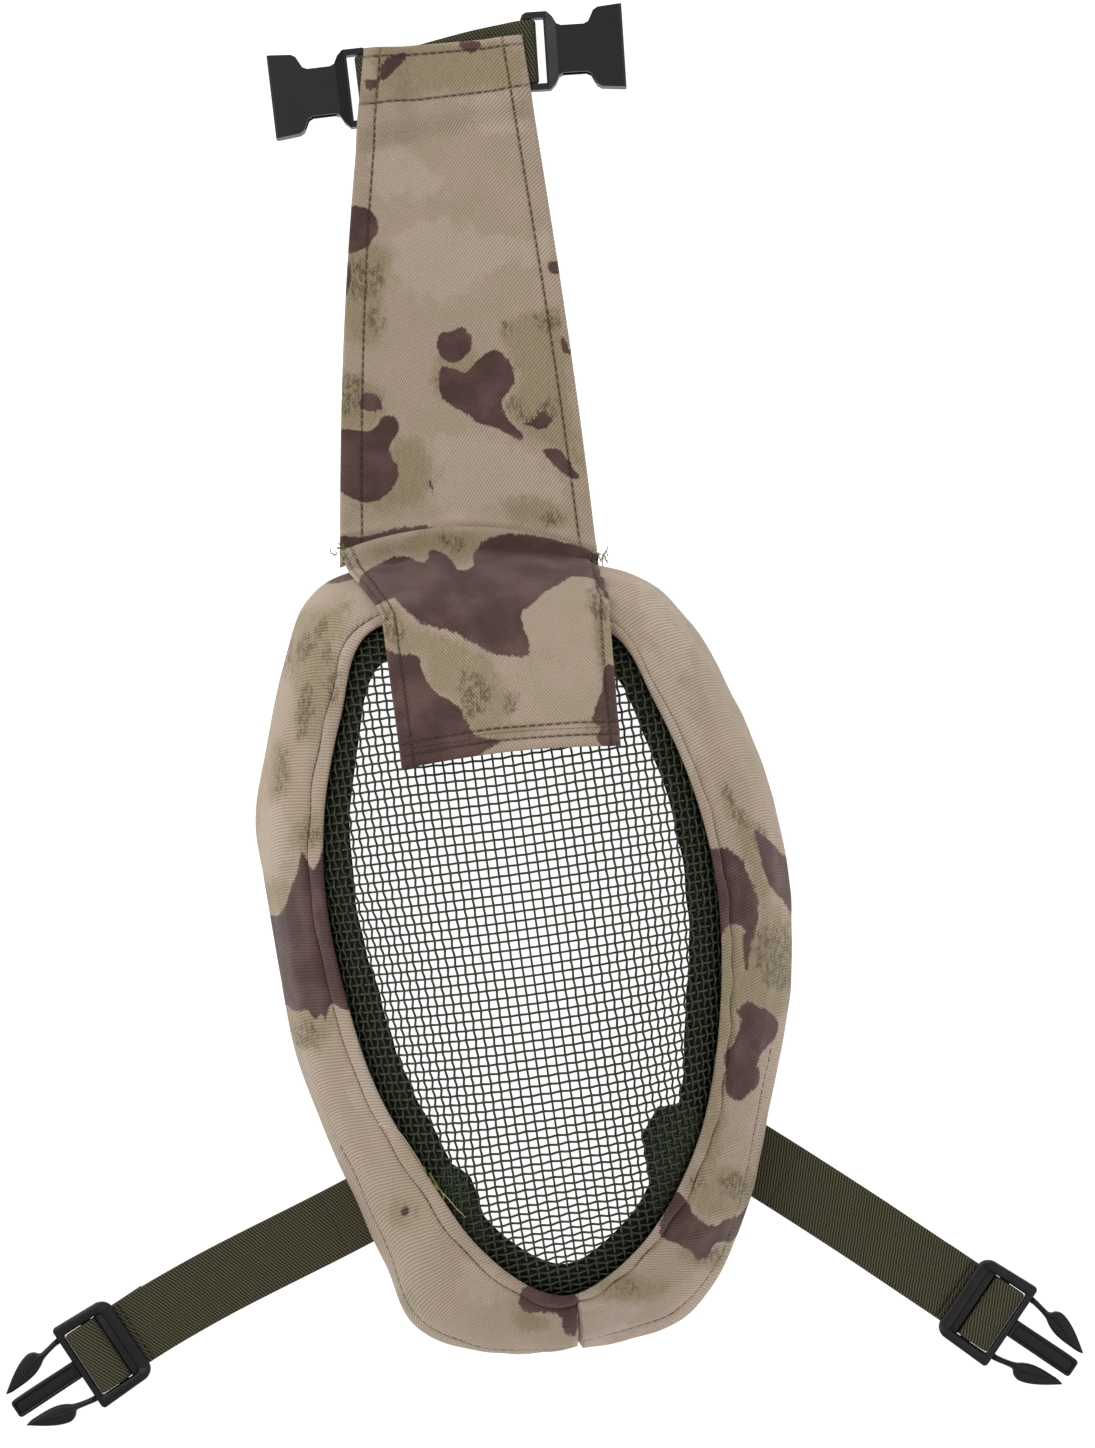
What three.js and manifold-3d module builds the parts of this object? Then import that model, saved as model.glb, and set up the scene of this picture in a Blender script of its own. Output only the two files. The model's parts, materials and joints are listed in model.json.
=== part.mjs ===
// Face mask: woven steel mesh in a padded cloth surround, with a nose flap, a head panel and buckled straps.
// Millimetres, +Z out of the front of the mask, +Y towards the head panel; the rim rests on Z = 0.
import * as THREE from "three";
import { mergeVertices } from "three/addons/utils/BufferGeometryUtils.js";
import Module from "manifold-3d";

const wasm = await Module();
wasm.setup();

// ---- driving sizes ----
const maskWidth = 193;
const maskLength = 288;
const maskDepth = 88;            // crown of the mesh above the rim
const crown = { x: -3.9, y: -90 };
const gap = 0.3;                 // between neighbouring pieces
const layerGap = 0.7;            // between the dished layers

const wireDepth = 1.8;           // two crossing wires
const clothSwell = 5.2;          // padded cloth at the rim
const hemThickness = 1.6;        // padded cloth at its inner hem
const foamWidth = 9;
const foamHeight = 8.4;
const liningThickness = 3.5;
const liningShow = 8;            // lining seen inside the hem

const strapWidth = 25;
const strapThickness = 1.4;
const webbingWidth = 22.5;
const webbingThickness = 1.3;
const strapSlack = 0.25;         // strap above the ground at the rim

const panelLength = 181;
const panelEndWidth = 58;        // between the two buckle bars
const panelThickness = 1.6;
const panelGap = 1.9;            // room for the panel to fold at its seam
const flapLength = 46;
const flapThickness = 2;
const seamHeight = maskDepth * 0.568;   // top of the flap's seam above the rim
const seamY = crown.y + maskLength * 0.4385;

const femaleThickness = 8;
const barRadius = 1.6;

// ---- small helpers ----
const rad = (degrees) => (degrees * Math.PI) / 180;
const lerp = (a, b, k) => a + (b - a) * k;
const ease = (k) => {
  const c = Math.min(1, Math.max(0, k));
  return c * c * (3 - 2 * c);
};
const steps = (count) => Array.from({ length: count + 1 }, (_, i) => i / count);

/** Faces the solid outward, joins its vertices and drops flat triangles. */
function tidy(geometry) {
  let g = geometry.index ? geometry : geometry.clone();
  g.deleteAttribute("normal");
  g.deleteAttribute("uv");
  g = mergeVertices(g, 1e-4);
  const p = g.attributes.position;
  const kept = [];
  const [a, b, c] = [new THREE.Vector3(), new THREE.Vector3(), new THREE.Vector3()];
  let volume = 0;
  for (let i = 0; i < g.index.count; i += 3) {
    const t = [0, 1, 2].map((k) => g.index.getX(i + k));
    if (new Set(t).size < 3) continue;
    kept.push(...t);
    a.fromBufferAttribute(p, t[0]);
    b.fromBufferAttribute(p, t[1]);
    c.fromBufferAttribute(p, t[2]);
    volume += a.dot(b.cross(c)) / 6;
  }
  if (volume < 0) {
    for (let i = 0; i < kept.length; i += 3) [kept[i], kept[i + 1]] = [kept[i + 1], kept[i]];
  }
  g.setIndex(kept);
  return g;
}

const solid = (geometry) => {
  const g = tidy(geometry);
  return new wasm.Manifold(new wasm.Mesh({
    numProp: 3,
    vertProperties: new Float32Array(g.attributes.position.array),
    triVerts: new Uint32Array(g.index.array),
  }));
};

const geometryOf = (manifold) => {
  const m = manifold.getMesh();
  const g = new THREE.BufferGeometry();
  g.setAttribute("position", new THREE.BufferAttribute(new Float32Array(m.vertProperties), 3));
  g.setIndex(Array.from(m.triVerts));
  return g;
};

/** A closed solid between two grids of points, outer[u][v] and inner[u][v]. */
function thickSheet(outer, inner, ring = false) {
  const nu = outer.length;
  const nv = outer[0].length;
  const points = [...outer.flat(), ...inner.flat()];
  const at = (u, v) => (u % nu) * nv + v;
  const under = (u, v) => nu * nv + at(u, v);
  const index = [];
  const quad = (a, b, c, d) => index.push(a, b, c, a, c, d);
  for (let u = 0; u < (ring ? nu : nu - 1); u++) {
    for (let v = 0; v < nv - 1; v++) {
      quad(at(u, v), at(u + 1, v), at(u + 1, v + 1), at(u, v + 1));
      quad(under(u, v), under(u, v + 1), under(u + 1, v + 1), under(u + 1, v));
    }
    quad(at(u, 0), under(u, 0), under(u + 1, 0), at(u + 1, 0));
    quad(at(u, nv - 1), at(u + 1, nv - 1), under(u + 1, nv - 1), under(u, nv - 1));
  }
  for (let v = 0; v < nv - 1 && !ring; v++) {
    quad(at(0, v), at(0, v + 1), under(0, v + 1), under(0, v));
    quad(at(nu - 1, v), under(nu - 1, v), under(nu - 1, v + 1), at(nu - 1, v + 1));
  }
  const g = new THREE.BufferGeometry();
  g.setAttribute("position", new THREE.Float32BufferAttribute(points.flatMap((p) => [p.x, p.y, p.z]), 3));
  g.setIndex(index);
  return tidy(g);
}

/** Extrudes a plan outline [[s, w], ...] from z0 to z1. */
function slab(outline, z0, z1, bevel = 0) {
  const shape = new THREE.Shape(outline.map(([s, w]) => new THREE.Vector2(s, w)));
  const g = new THREE.ExtrudeGeometry(shape, {
    depth: z1 - z0 - 2 * bevel,
    bevelEnabled: bevel > 0,
    bevelSize: bevel,
    bevelOffset: -bevel,
    bevelThickness: bevel,
    bevelSegments: 1,
  });
  return g.translate(0, 0, z0 + bevel);
}

/** Extrudes a side outline [[s, z], ...] across a width centred on w = 0. */
function across(outline, width, holes = []) {
  const vectors = (ring) => ring.map(([s, z]) => new THREE.Vector2(s, z));
  const shape = new THREE.Shape(vectors(outline));
  shape.holes = holes.map((hole) => new THREE.Path(vectors(hole)));
  const g = new THREE.ExtrudeGeometry(shape, { depth: width, bevelEnabled: false });
  return g.rotateX(Math.PI / 2).translate(0, width / 2, 0);
}

const box = (s0, s1, w0, w1, z0, z1) => slab([[s0, w0], [s1, w0], [s1, w1], [s0, w1]], z0, z1);
const circle = (s, z, radius, count = 16) =>
  Array.from({ length: count }, (_, i) => {
    const a = (i / count) * 2 * Math.PI;
    return [s + radius * Math.cos(a), z + radius * Math.sin(a)];
  });

/** The outline of a line of even thickness through [[s, z], ...]. */
function thickLine(points, thickness) {
  const v = points.map(([s, z]) => new THREE.Vector2(s, z));
  const sides = v.map((p, i) => {
    const before = v[Math.max(0, i - 1)];
    const after = v[Math.min(v.length - 1, i + 1)];
    const d1 = (i ? p.clone().sub(before) : after.clone().sub(p)).normalize();
    const d2 = (i < v.length - 1 ? after.clone().sub(p) : p.clone().sub(before)).normalize();
    const bisector = d1.clone().add(d2).normalize();
    const normal = new THREE.Vector2(-bisector.y, bisector.x);
    return normal.multiplyScalar(thickness / 2 / Math.max(0.5, bisector.dot(d1)));
  });
  const left = v.map((p, i) => [p.x + sides[i].x, p.y + sides[i].y]);
  const right = v.map((p, i) => [p.x - sides[i].x, p.y - sides[i].y]);
  return [...left, ...right.reverse()];
}

/** A smooth path in plan from one point and heading to another. */
function planPath(start, startHeading, end, endHeading) {
  const length = Math.hypot(end.x - start.x, end.y - start.y);
  const direction = (degrees) => new THREE.Vector2(Math.cos(rad(degrees)), Math.sin(rad(degrees)));
  const [d0, d1] = [direction(startHeading), direction(endHeading)];
  const at = (s) => {
    const k = Math.min(1, Math.max(0, s / length));
    const [h00, h10] = [2 * k ** 3 - 3 * k ** 2 + 1, k ** 3 - 2 * k ** 2 + k];
    const [h01, h11] = [-2 * k ** 3 + 3 * k ** 2, k ** 3 - k ** 2];
    const p = new THREE.Vector2(
      h00 * start.x + h10 * length * d0.x + h01 * end.x + h11 * length * d1.x,
      h00 * start.y + h10 * length * d0.y + h01 * end.y + h11 * length * d1.y,
    );
    const beyond = s < 0 ? s : Math.max(0, s - length);
    return p.add((s < 0 ? d0 : d1).clone().multiplyScalar(beyond));
  };
  const frame = (s) => {
    const e = 0.05;
    const d = at(s + e).sub(at(s - e)).normalize();
    return { p: at(s), d, n: new THREE.Vector2(-d.y, d.x) };
  };
  return { length, at, frame };
}

/** A band of even thickness whose middle line [[s, z], ...] follows a path in plan. */
function band(path, line, width, thickness) {
  const row = ([s, z], up) => [-0.5, 0.5].map((k) => {
    const { p, n } = path.frame(s);
    return new THREE.Vector3(p.x + n.x * width * k, p.y + n.y * width * k, z + (up * thickness) / 2);
  });
  return thickSheet(line.map((q) => row(q, 1)), line.map((q) => row(q, -1)));
}

/** Places a solid with its s axis along a heading in plan. */
const place = (geometry, x, y, heading) =>
  geometry.applyMatrix4(new THREE.Matrix4().makeRotationZ(rad(heading)).setPosition(x, y, 0));

// ---- group and materials ----
const group = new THREE.Group();
group.name = "camo_face_mask";
const material = (colour, roughness, metalness = 0) =>
  new THREE.MeshStandardMaterial({ color: colour, roughness, metalness });
const camo = () => material(0xb09c86, 0.9);
const wirePaint = () => material(0x4f5448, 0.55, 0.4);
const padding = () => material(0x2f3a2a, 0.95);
const webbing = () => material(0x3b3b28, 0.85);
const plastic = () => material(0x29282c, 0.45);

function add(name, geometry, mat) {
  const mesh = new THREE.Mesh(tidy(geometry), mat);
  mesh.name = name;
  group.add(mesh);
  return mesh;
}

// ---- the mask's dished form ----
// Outlines are fractions of half the width and half the length about the crown.
const rimShape = [
  [-0.74, 1.0], [-0.85, 0.93], [-0.935, 0.76], [-1.0, 0.58], [-1.045, 0.38], [-1.005, 0.2], [-0.962, 0],
  [-0.905, -0.2], [-0.79, -0.4], [-0.675, -0.56], [-0.55, -0.74], [-0.44, -0.895], [-0.24, -0.95], [0.02, -0.955],
  [0.24, -0.93], [0.4, -0.905], [0.54, -0.872], [0.67, -0.78], [0.77, -0.62], [0.87, -0.36], [0.945, -0.1],
  [0.955, 0.14], [0.94, 0.28], [0.863, 0.48], [0.72, 0.7], [0.56, 0.88], [0.34, 1.0], [0.14, 1.045], [-0.3, 1.06],
];
const openingShape = [
  [-0.6, 0.83], [-0.7, 0.62], [-0.755, 0.4], [-0.745, 0.17], [-0.665, -0.07], [-0.56, -0.27], [-0.37, -0.48],
  [-0.185, -0.65], [0.02, -0.755], [0.145, -0.765], [0.37, -0.645], [0.565, -0.42], [0.645, -0.18],
  [0.655, 0.17], [0.58, 0.42], [0.43, 0.66], [0.27, 0.83], [-0.15, 0.87],
];

/** The radius of a closed outline about the crown, for any angle. */
function radiusOf(shape) {
  const points = shape.map(([x, y]) => new THREE.Vector3((x * maskWidth) / 2, (y * maskLength) / 2, 0));
  const curve = new THREE.CatmullRomCurve3(points, true, "centripetal");
  const samples = curve.getPoints(720).map((p) => ({ a: Math.atan2(p.y, p.x), r: Math.hypot(p.x, p.y) }));
  samples.sort((p, q) => p.a - q.a);
  return (angle) => {
    const a = Math.atan2(Math.sin(angle), Math.cos(angle));
    const i = samples.findIndex((p) => p.a >= a);
    const q = samples[i < 0 ? 0 : i];
    const p = samples[(i < 0 ? samples.length : i + samples.length) % samples.length - 1] ?? samples.at(-1);
    const span = (q.a - p.a + 2 * Math.PI) % (2 * Math.PI) || 1;
    return lerp(p.r, q.r, ((a - p.a + 2 * Math.PI) % (2 * Math.PI)) / span);
  };
}
const clothRadius = radiusOf(rimShape);
const hemRadius = radiusOf(openingShape);
const meshRadius = (a) => clothRadius(a) - clothSwell - layerGap;

const fullness = 1.75;
const sharpness = (a) => 0.6 + 0.09 * Math.cos(2 * a) - 0.05 * Math.sin(a);
const heightAt = (a, t) => maskDepth * Math.max(0, 1 - t ** fullness) ** sharpness(a);
const levelAt = (a, z) => (1 - (z / maskDepth) ** (1 / sharpness(a))) ** (1 / fullness);

// Level rings are ovals near the crown and take the rim's outline towards the rim.
const lean = rad(8.5);
const ovalRadius = (a) =>
  1 / Math.hypot(Math.cos(a - lean) / (maskWidth * 0.45), Math.sin(a - lean) / (maskLength * 0.48));
const ringRadius = (a, t) => t * lerp(ovalRadius(a), meshRadius(a), ease(t * 1.15));
const levelOf = (a, radius) => {
  let t = radius / meshRadius(a);
  for (let i = 0; i < 12; i++) t = (t * radius) / ringRadius(a, t);
  return t;
};

/** A point on the dish at angle a and fraction t of the way to the rim, offset outward by d. */
function dish(a, t, d = 0) {
  const e = 0.004;
  const [t0, t1] = [Math.max(0, Math.min(t, 0.9995) - e), Math.min(0.9995, t + e)];
  const outward = ringRadius(a, t1) - ringRadius(a, t0);
  const slope = new THREE.Vector2(outward, heightAt(a, t1) - heightAt(a, t0)).normalize();
  const normal = t <= 0 ? new THREE.Vector2(0, 1) : new THREE.Vector2(-slope.y, slope.x);
  return { r: ringRadius(a, t) + normal.x * d, z: heightAt(a, t) + normal.y * d };
}
const polar = (a, r, z) => new THREE.Vector3(crown.x + r * Math.cos(a), crown.y + r * Math.sin(a), z);
const onDish = (a, t, d) => {
  const { r, z } = dish(a, t, d);
  return polar(a, r, z);
};
const hemLevel = (a) => levelOf(a, hemRadius(a));
const footLevel = (a) => levelAt(a, foamHeight + 1.2);
const ringAngles = steps(60).slice(0, -1).map((k) => k * 2 * Math.PI);

// Rows from the hem to the mesh's lower edge, shared by every layer.
const bandRows = [0, 0.16, 0.36, 0.56, 0.74, 0.88, 1];
const bandLevel = (a, k) => lerp(hemLevel(a), footLevel(a), 1 - (1 - k) ** 1.5);

// ---- woven mesh shell ----
{
  const inner = [0, 0.12, 0.3, 0.5, 0.7, 0.88];
  const levels = (a) => [...inner.map((k) => k * hemLevel(a)), ...bandRows.map((k) => bandLevel(a, k))];
  const rows = (d) => ringAngles.map((a) => levels(a).map((t) => onDish(a, t, d)));
  add("mesh_shell", thickSheet(rows(0), rows(-wireDepth), true), wirePaint());
}

// ---- seams between the cloth pieces, as angles about the crown ----
// The two at the bridge point to places given in fractions of half the width and half the length.
const towards = (x, y) => Math.atan2(y * maskLength, x * maskWidth) * 180 / Math.PI;
const seams = {
  left: { hem: towards(-0.6181, 1), rim: towards(-0.70537, 1) },
  right: { hem: towards(0.3036, 1), rim: towards(0.22834, 1) },
  bottom: { hem: -82.5, rim: -83.5 },
};

// ---- strap exits ----
const straps = {
  left: { exit: 233.5, bearing: 208.3, heading: 208, endHeading: 213.5, reach: 92.3, side: -1 },
  right: { exit: 319.7, bearing: 326.8, heading: 328, endHeading: 326, reach: 84.2, side: 1 },
};
for (const strap of Object.values(straps)) {
  const edge = clothRadius(rad(strap.exit)) + 1.6;
  const start = polar(rad(strap.exit), edge, 0);
  const middle = rad(strap.bearing);
  const from = new THREE.Vector2(start.x, start.y);
  const end = new THREE.Vector2(Math.cos(middle), Math.sin(middle)).multiplyScalar(strap.reach).add(from);
  strap.path = planPath(from, strap.heading, end, strap.endHeading);
}
const rimNotches = Object.values(straps).map(({ path, heading }) => {
  const notch = box(-clothSwell - foamWidth - 8, 8, -strapWidth / 2 - 0.6, strapWidth / 2 + 0.6, -2, 2);
  return solid(place(notch, path.at(0).x, path.at(0).y, heading));
});
const notched = (geometry) => geometryOf(rimNotches.reduce((s, n) => s.subtract(n), solid(geometry)));

// ---- padded cloth covers ----
const seamAngle = (seam, t) => {
  const hem = hemLevel(rad(seam.hem));
  return rad(lerp(seam.hem, seam.rim, (t - hem) / (1 - hem)));
};
const shifted = (seam, degrees) => ({ hem: seam.hem + degrees * 1.3, rim: seam.rim + degrees });
const turned = (seam) => ({ hem: seam.hem + 360, rim: seam.rim + 360 });
const seamGap = 0.17;

function cover(from, to, count) {
  const rim = 1.12;              // row number of the rim, past the mesh's lower edge
  const bulge = (k) => 0.9 * Math.sin(Math.PI * Math.min(1, k)) ** 2;
  const swell = (k) => layerGap + lerp(hemThickness, clothSwell, ease(k * 2)) + bulge(k);
  const row = (u, offset) => [...bandRows, rim].map((k) => {
    const middle = rad(lerp(from.hem, to.hem, u));
    const level = k === rim ? 1 : bandLevel(middle, k);
    const a = lerp(seamAngle(from, level), seamAngle(to, level), u);
    if (k === rim) return polar(a, meshRadius(a) + offset(1), 0);
    return onDish(a, bandLevel(a, k), offset(k));
  });
  const us = steps(count);
  return thickSheet(us.map((u) => row(u, swell)), us.map((u) => row(u, () => layerGap)));
}
const leftCover = cover(shifted(seams.left, seamGap), shifted(turned(seams.bottom), -seamGap), 40);
const rightCover = cover(shifted(seams.right, -seamGap), shifted(seams.bottom, seamGap), 36);
add("cover_left", notched(leftCover), camo());
add("cover_right", notched(rightCover), camo());

// ---- bridge cloth, from the flap's seam over the top of the rim to the head panel ----
const bridgeEdge = {
  left: new THREE.Vector2(crown.x - maskWidth * 0.3648, crown.y + maskLength * 0.5219),
  right: new THREE.Vector2(crown.x + maskWidth * 0.1181, crown.y + maskLength * 0.5194),
  sag: 9.3,
};
const edgeAt = (u) => new THREE.Vector2(
  lerp(bridgeEdge.left.x, bridgeEdge.right.x, u),
  lerp(bridgeEdge.left.y, bridgeEdge.right.y, u) + bridgeEdge.sag * 4 * u * (1 - u),
);
const bridgeThickness = 2;
{
  const sides = [shifted(seams.left, -seamGap * 2), shifted(seams.right, seamGap * 2)];
  const row = (u, top) => {
    const edge = edgeAt(u);
    const hemAngle = rad(lerp(sides[0].hem, sides[1].hem, u));
    const seamRadius = (seamY - crown.y) / Math.sin(hemAngle);
    const start = levelOf(hemAngle, seamRadius);
    const offset = layerGap + 0.4 + (top ? bridgeThickness : 0);
    const seamLevel = seamHeight - (top ? 0 : bridgeThickness);
    const lift = seamLevel - dish(hemAngle, start, offset).z;
    const points = [0.2, 0.42, 0.64, 0.82, 0.94, 1].map((k) => {
      const t = lerp(start, levelAt(hemAngle, 5), k);
      const a = lerp(seamAngle(sides[0], t), seamAngle(sides[1], t), u);
      const p = dish(a, lerp(start, levelAt(a, 5), k), offset);
      return polar(a, p.r, p.z + lift * (1 - k) ** 2);
    });
    points.unshift(polar(hemAngle, seamRadius, seamLevel).add(new THREE.Vector3(0, gap, 0)));
    const rimAngle = Math.atan2(edge.y - crown.y, edge.x - crown.x);
    const reach = Math.hypot(edge.x - crown.x, edge.y - crown.y);
    const foot = meshRadius(rimAngle) + layerGap + 0.4;
    points.push(polar(rimAngle, top ? foot + 2.8 : foot, top ? 2.8 : 0));
    points.push(polar(rimAngle, reach, top ? bridgeThickness : 0));
    return points;
  };
  const us = steps(14);
  add("bridge", thickSheet(us.map((u) => row(u, true)), us.map((u) => row(u, false))), camo());
}

// ---- lining band and rim foam inside the mesh ----
const liningDepth = wireDepth + layerGap;
const liningEdge = (a) => levelOf(a, hemRadius(a) - liningShow);
{
  const levels = (a) => [liningEdge(a), ...bandRows.map((k) => bandLevel(a, Math.min(k, 0.9)))];
  const rows = (d) => ringAngles.map((a) => levels(a).map((t) => onDish(a, t, -d)));
  add("lining_band", thickSheet(rows(liningDepth), rows(liningDepth + liningThickness), true), padding());
}
{
  const top = (a) => polar(a, dish(a, footLevel(a)).r, foamHeight);
  const outside = ringAngles.map((a) => [top(a), polar(a, meshRadius(a), 0)]);
  const inside = ringAngles.map((a) => [foamHeight, 0].map((z) => polar(a, meshRadius(a) - foamWidth, z)));
  add("edge_foam", notched(thickSheet(outside, inside, true)), padding());
}

// ---- strap ends sewn inside the rim, each under a pointed patch ----
const sewnDepth = liningDepth + liningThickness + layerGap;
for (const [side, strap] of Object.entries(straps)) {
  const origin = strap.path.at(0);
  const tongue = place(
    box(-clothSwell - foamWidth - 7, -1, -strapWidth / 2, strapWidth / 2, strapSlack, strapSlack + strapThickness),
    origin.x, origin.y, strap.heading,
  );
  const centre = rad(strap.exit);
  const half = strapWidth / 2 / (meshRadius(centre) - foamWidth);
  const strip = (d) => steps(4).map((k) => {
    const a = centre + lerp(-half, half, k);
    const base = meshRadius(a) - foamWidth - gap - (d - sewnDepth);
    const points = [polar(a, base - 1.4, strapSlack), polar(a, base - 1.4, foamHeight + 4)];
    for (const t of [0.93, 0.86, 0.8]) points.push(onDish(a, t, -d));
    return points;
  });
  const upright = thickSheet(strip(sewnDepth), strip(sewnDepth + strapThickness));
  add(`strap_sewn_${side}`, geometryOf(solid(tongue).add(solid(upright))), webbing());

  const patchDepth = sewnDepth + strapThickness + layerGap;
  const spread = half * 1.35;
  const point = side === "left" ? 9 : 15;
  const patch = (d) => steps(10).map((k) => {
    const a = centre + (side === "left" ? 0.06 : 0) + lerp(-spread, spread, k);
    const peak = 1 - Math.abs(2 * k - 1);
    const inner = levelOf(a, hemRadius(a) - liningShow - peak * point);
    return [0, 0.5, 1].map((j) => onDish(a, lerp(inner, 0.9, j), -d));
  });
  add(`strap_patch_${side}`, thickSheet(patch(patchDepth), patch(patchDepth + 1.6)), padding());
}

// ---- nose flap ----
{
  const flapSlope = 29.5;
  const sideAt = (u, v) => crown.x + maskWidth * lerp(lerp(-0.2777, 0.1342, u), lerp(-0.2363, 0.1523, u), v);
  const shape = (u, v) => {
    const skew = lerp(7, -1, u) * v - 2 * Math.sin(Math.PI * u) * v;
    const out = v * flapLength + skew;
    const crest = 2.4 * (1 - (2 * u - 1) ** 2) * (1 - (1 - v) ** 2);
    const rise = Math.tan(rad(flapSlope)) * out + 1.6 * Math.sin(Math.PI * v) + crest;
    return new THREE.Vector3(sideAt(u, v), seamY - out, seamHeight + rise);
  };
  const under = new THREE.Vector3(0, 0, -flapThickness);
  const grid = steps(10).map((u) => steps(8).map((v) => shape(u, v)));
  add("nose_flap", thickSheet(grid, grid.map((column) => column.map((p) => p.clone().add(under)))), camo());
}

// ---- top webbing and its two female buckles ----
const barHeight = femaleThickness / 2;
const topBars = {
  left: new THREE.Vector2(bridgeEdge.left.x + 9.8, bridgeEdge.left.y + panelLength - 14.1),
  right: new THREE.Vector2(bridgeEdge.left.x + 9.8 + panelEndWidth, bridgeEdge.left.y + panelLength - 1.6),
};
const webbingPath = planPath(topBars.left, 6.8, topBars.right, 3.7);
const webbingSag = (s) => -2.2 * ease(s / 14) * ease((webbingPath.length - s) / 14);
const loopRadius = barRadius + gap + webbingThickness;
{
  const length = webbingPath.length;
  const loop = () => across(circle(0, 0, loopRadius, 20), webbingWidth, [circle(0, 0, barRadius + gap, 16)])
    .translate(0, 0, barHeight);
  const stub = barRadius + gap + 0.6;
  const line = steps(14).map((k) => lerp(stub, length - stub, k)).map((s) => [s, barHeight + webbingSag(s)]);
  const middle = band(webbingPath, line, webbingWidth, 2 * webbingThickness);
  const { left, right } = topBars;
  const ends = [place(loop(), left.x, left.y, 6.8), place(loop(), right.x, right.y, 3.7)];
  add("top_webbing", geometryOf(solid(middle).add(solid(ends[0])).add(solid(ends[1]))), webbing());
}

// Half of the female buckle's plan, from its end bar to its mouth.
const femaleLength = 36.5;
const femaleHalf = [
  [0, 11.9], [0.7, 13.3], [2.2, 14], [9.4, 14], [11.4, 12], [12.8, 9.2], [14.4, 8.5],
  [22.6, 8.5], [24.2, 9.3], [26.2, 13.2], [27.8, 14.2], [femaleLength, 15],
];
const buckleSlot = webbingWidth / 2 + 0.5;
const socketHeight = 5.4;
const socketHalf = 12.6;
const barAt = 2.2;
function femaleBuckle() {
  const plan = [...femaleHalf, ...femaleHalf.map(([s, w]) => [s, -w]).reverse()];
  const side = [
    [0, 2.6], [0, 5.4], [1, 6.6], [9, 6.8], [12.5, femaleThickness], [femaleLength - 0.8, femaleThickness],
    [femaleLength, femaleThickness - 0.8], [femaleLength, 0.8], [femaleLength - 0.8, 0], [12.5, 0], [9, 1.2], [1, 1.4],
  ];
  const middle = femaleThickness / 2;
  const body = solid(slab(plan, 0, femaleThickness)).intersect(solid(across(side, 40)));
  const window = solid(box(-1, barAt + loopRadius + 2.8, -buckleSlot, buckleSlot, -1, femaleThickness + 1));
  const low = middle - socketHeight / 2;
  const socket = solid(box(14, femaleLength + 1, -socketHalf, socketHalf, low, low + socketHeight));
  const bar = solid(across(circle(barAt, middle, barRadius, 16), 2 * buckleSlot + 1));
  return geometryOf(body.subtract(window).subtract(socket).add(bar)).translate(-barAt, 0, 0);
}
add("female_buckle_left", place(femaleBuckle(), topBars.left.x, topBars.left.y, 186.8), plastic());
add("female_buckle_right", place(femaleBuckle(), topBars.right.x, topBars.right.y, 3.7), plastic());

// ---- head panel ----
{
  const far = {
    left: new THREE.Vector2(topBars.left.x + 0.2, topBars.left.y + 13.4),
    right: new THREE.Vector2(topBars.right.x - 2.2, topBars.right.y + 5.7),
  };
  const near = (u) => edgeAt(u).add(new THREE.Vector2(0, panelGap));
  const xAt = (u, v) => {
    const left = lerp(bridgeEdge.left.x, far.left.x, v) - 2.6 * Math.sin(Math.PI * v);
    const right = lerp(bridgeEdge.right.x, far.right.x, v) + 1.6 * Math.sin(Math.PI * v) * (1 - 0.5 * v);
    return lerp(left, right, u);
  };
  const low = barHeight + webbingThickness + gap;
  const high = 2 * barHeight - 0.4;
  const over = (x, y) => {
    const s = (x - topBars.left.x) * Math.cos(rad(12)) + (y - topBars.left.y) * Math.sin(rad(12));
    const inside = ease((s - 6) / 11) * ease((webbingPath.length - 6 - s) / 11);
    return lerp(high, low + webbingSag(s) + 0.4, inside);
  };
  const column = (u, up) => {
    const y0 = near(u).y;
    const y1 = lerp(far.left.y, far.right.y, u);
    const s = (xAt(u, 1) - topBars.left.x) / Math.cos(rad(11));
    const south = webbingPath.at(s).y - webbingWidth / 2;
    const flat = [0, 0.14, 0.32, 0.52, 0.72, 0.88, 1].map((k) => [lerp(y0, south - 15, k), 0]);
    const raised = [[south - 11, 0.32], [south - 7.5, 0.76], [south - 3.8, 1], [south + 6, 1], [y1, 1]];
    return [...flat, ...raised].map(([y, k]) => {
      const x = xAt(u, (y - y0) / (y1 - y0));
      return new THREE.Vector3(x, y, k * over(x, y) + up);
    });
  };
  const us = [0, 0.06, 0.13, 0.22, 0.33, 0.45, 0.55, 0.67, 0.78, 0.87, 0.94, 1];
  const grid = (up) => us.map((u) => column(u, up));
  add("head_panel", thickSheet(grid(panelThickness), grid(0)), camo());
}

// ---- elastic straps with male buckles ----
const frameLength = 23;
const frameHalf = 16.3;
const frameHeight = 6.8;
const railWidth = frameHalf - strapWidth / 2 - 0.6;
const adjuster = { s0: 9.7, s1: 13, z0: 1.9, z1: 4 };
const prongLength = 27;
const armHalf = [
  [23.3, 13.4], [27, 12.9], [31.4, 12.3], [33.2, 13.7], [35.5, 14.1], [41, 12.6], [46, 9.4], [49, 7],
  [49.2, 6.1], [47.5, 5.8], [42, 5.8], [37.5, 6.3], [34, 8], [31.6, 9.8], [27, 10.7], [23.3, 11.1],
];
const loopLine = [
  [-1.5, 2.4], [5.6, 2.4], [7.2, 3.2], [8.3, 4.6], [9.6, 5.2], [13.2, 5.2], [14.6, 4.6],
  [15.2, 2.9], [14.5, 1.2], [13, 0.7], [4, 0.7], [-12, 0.7],
];

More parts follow.
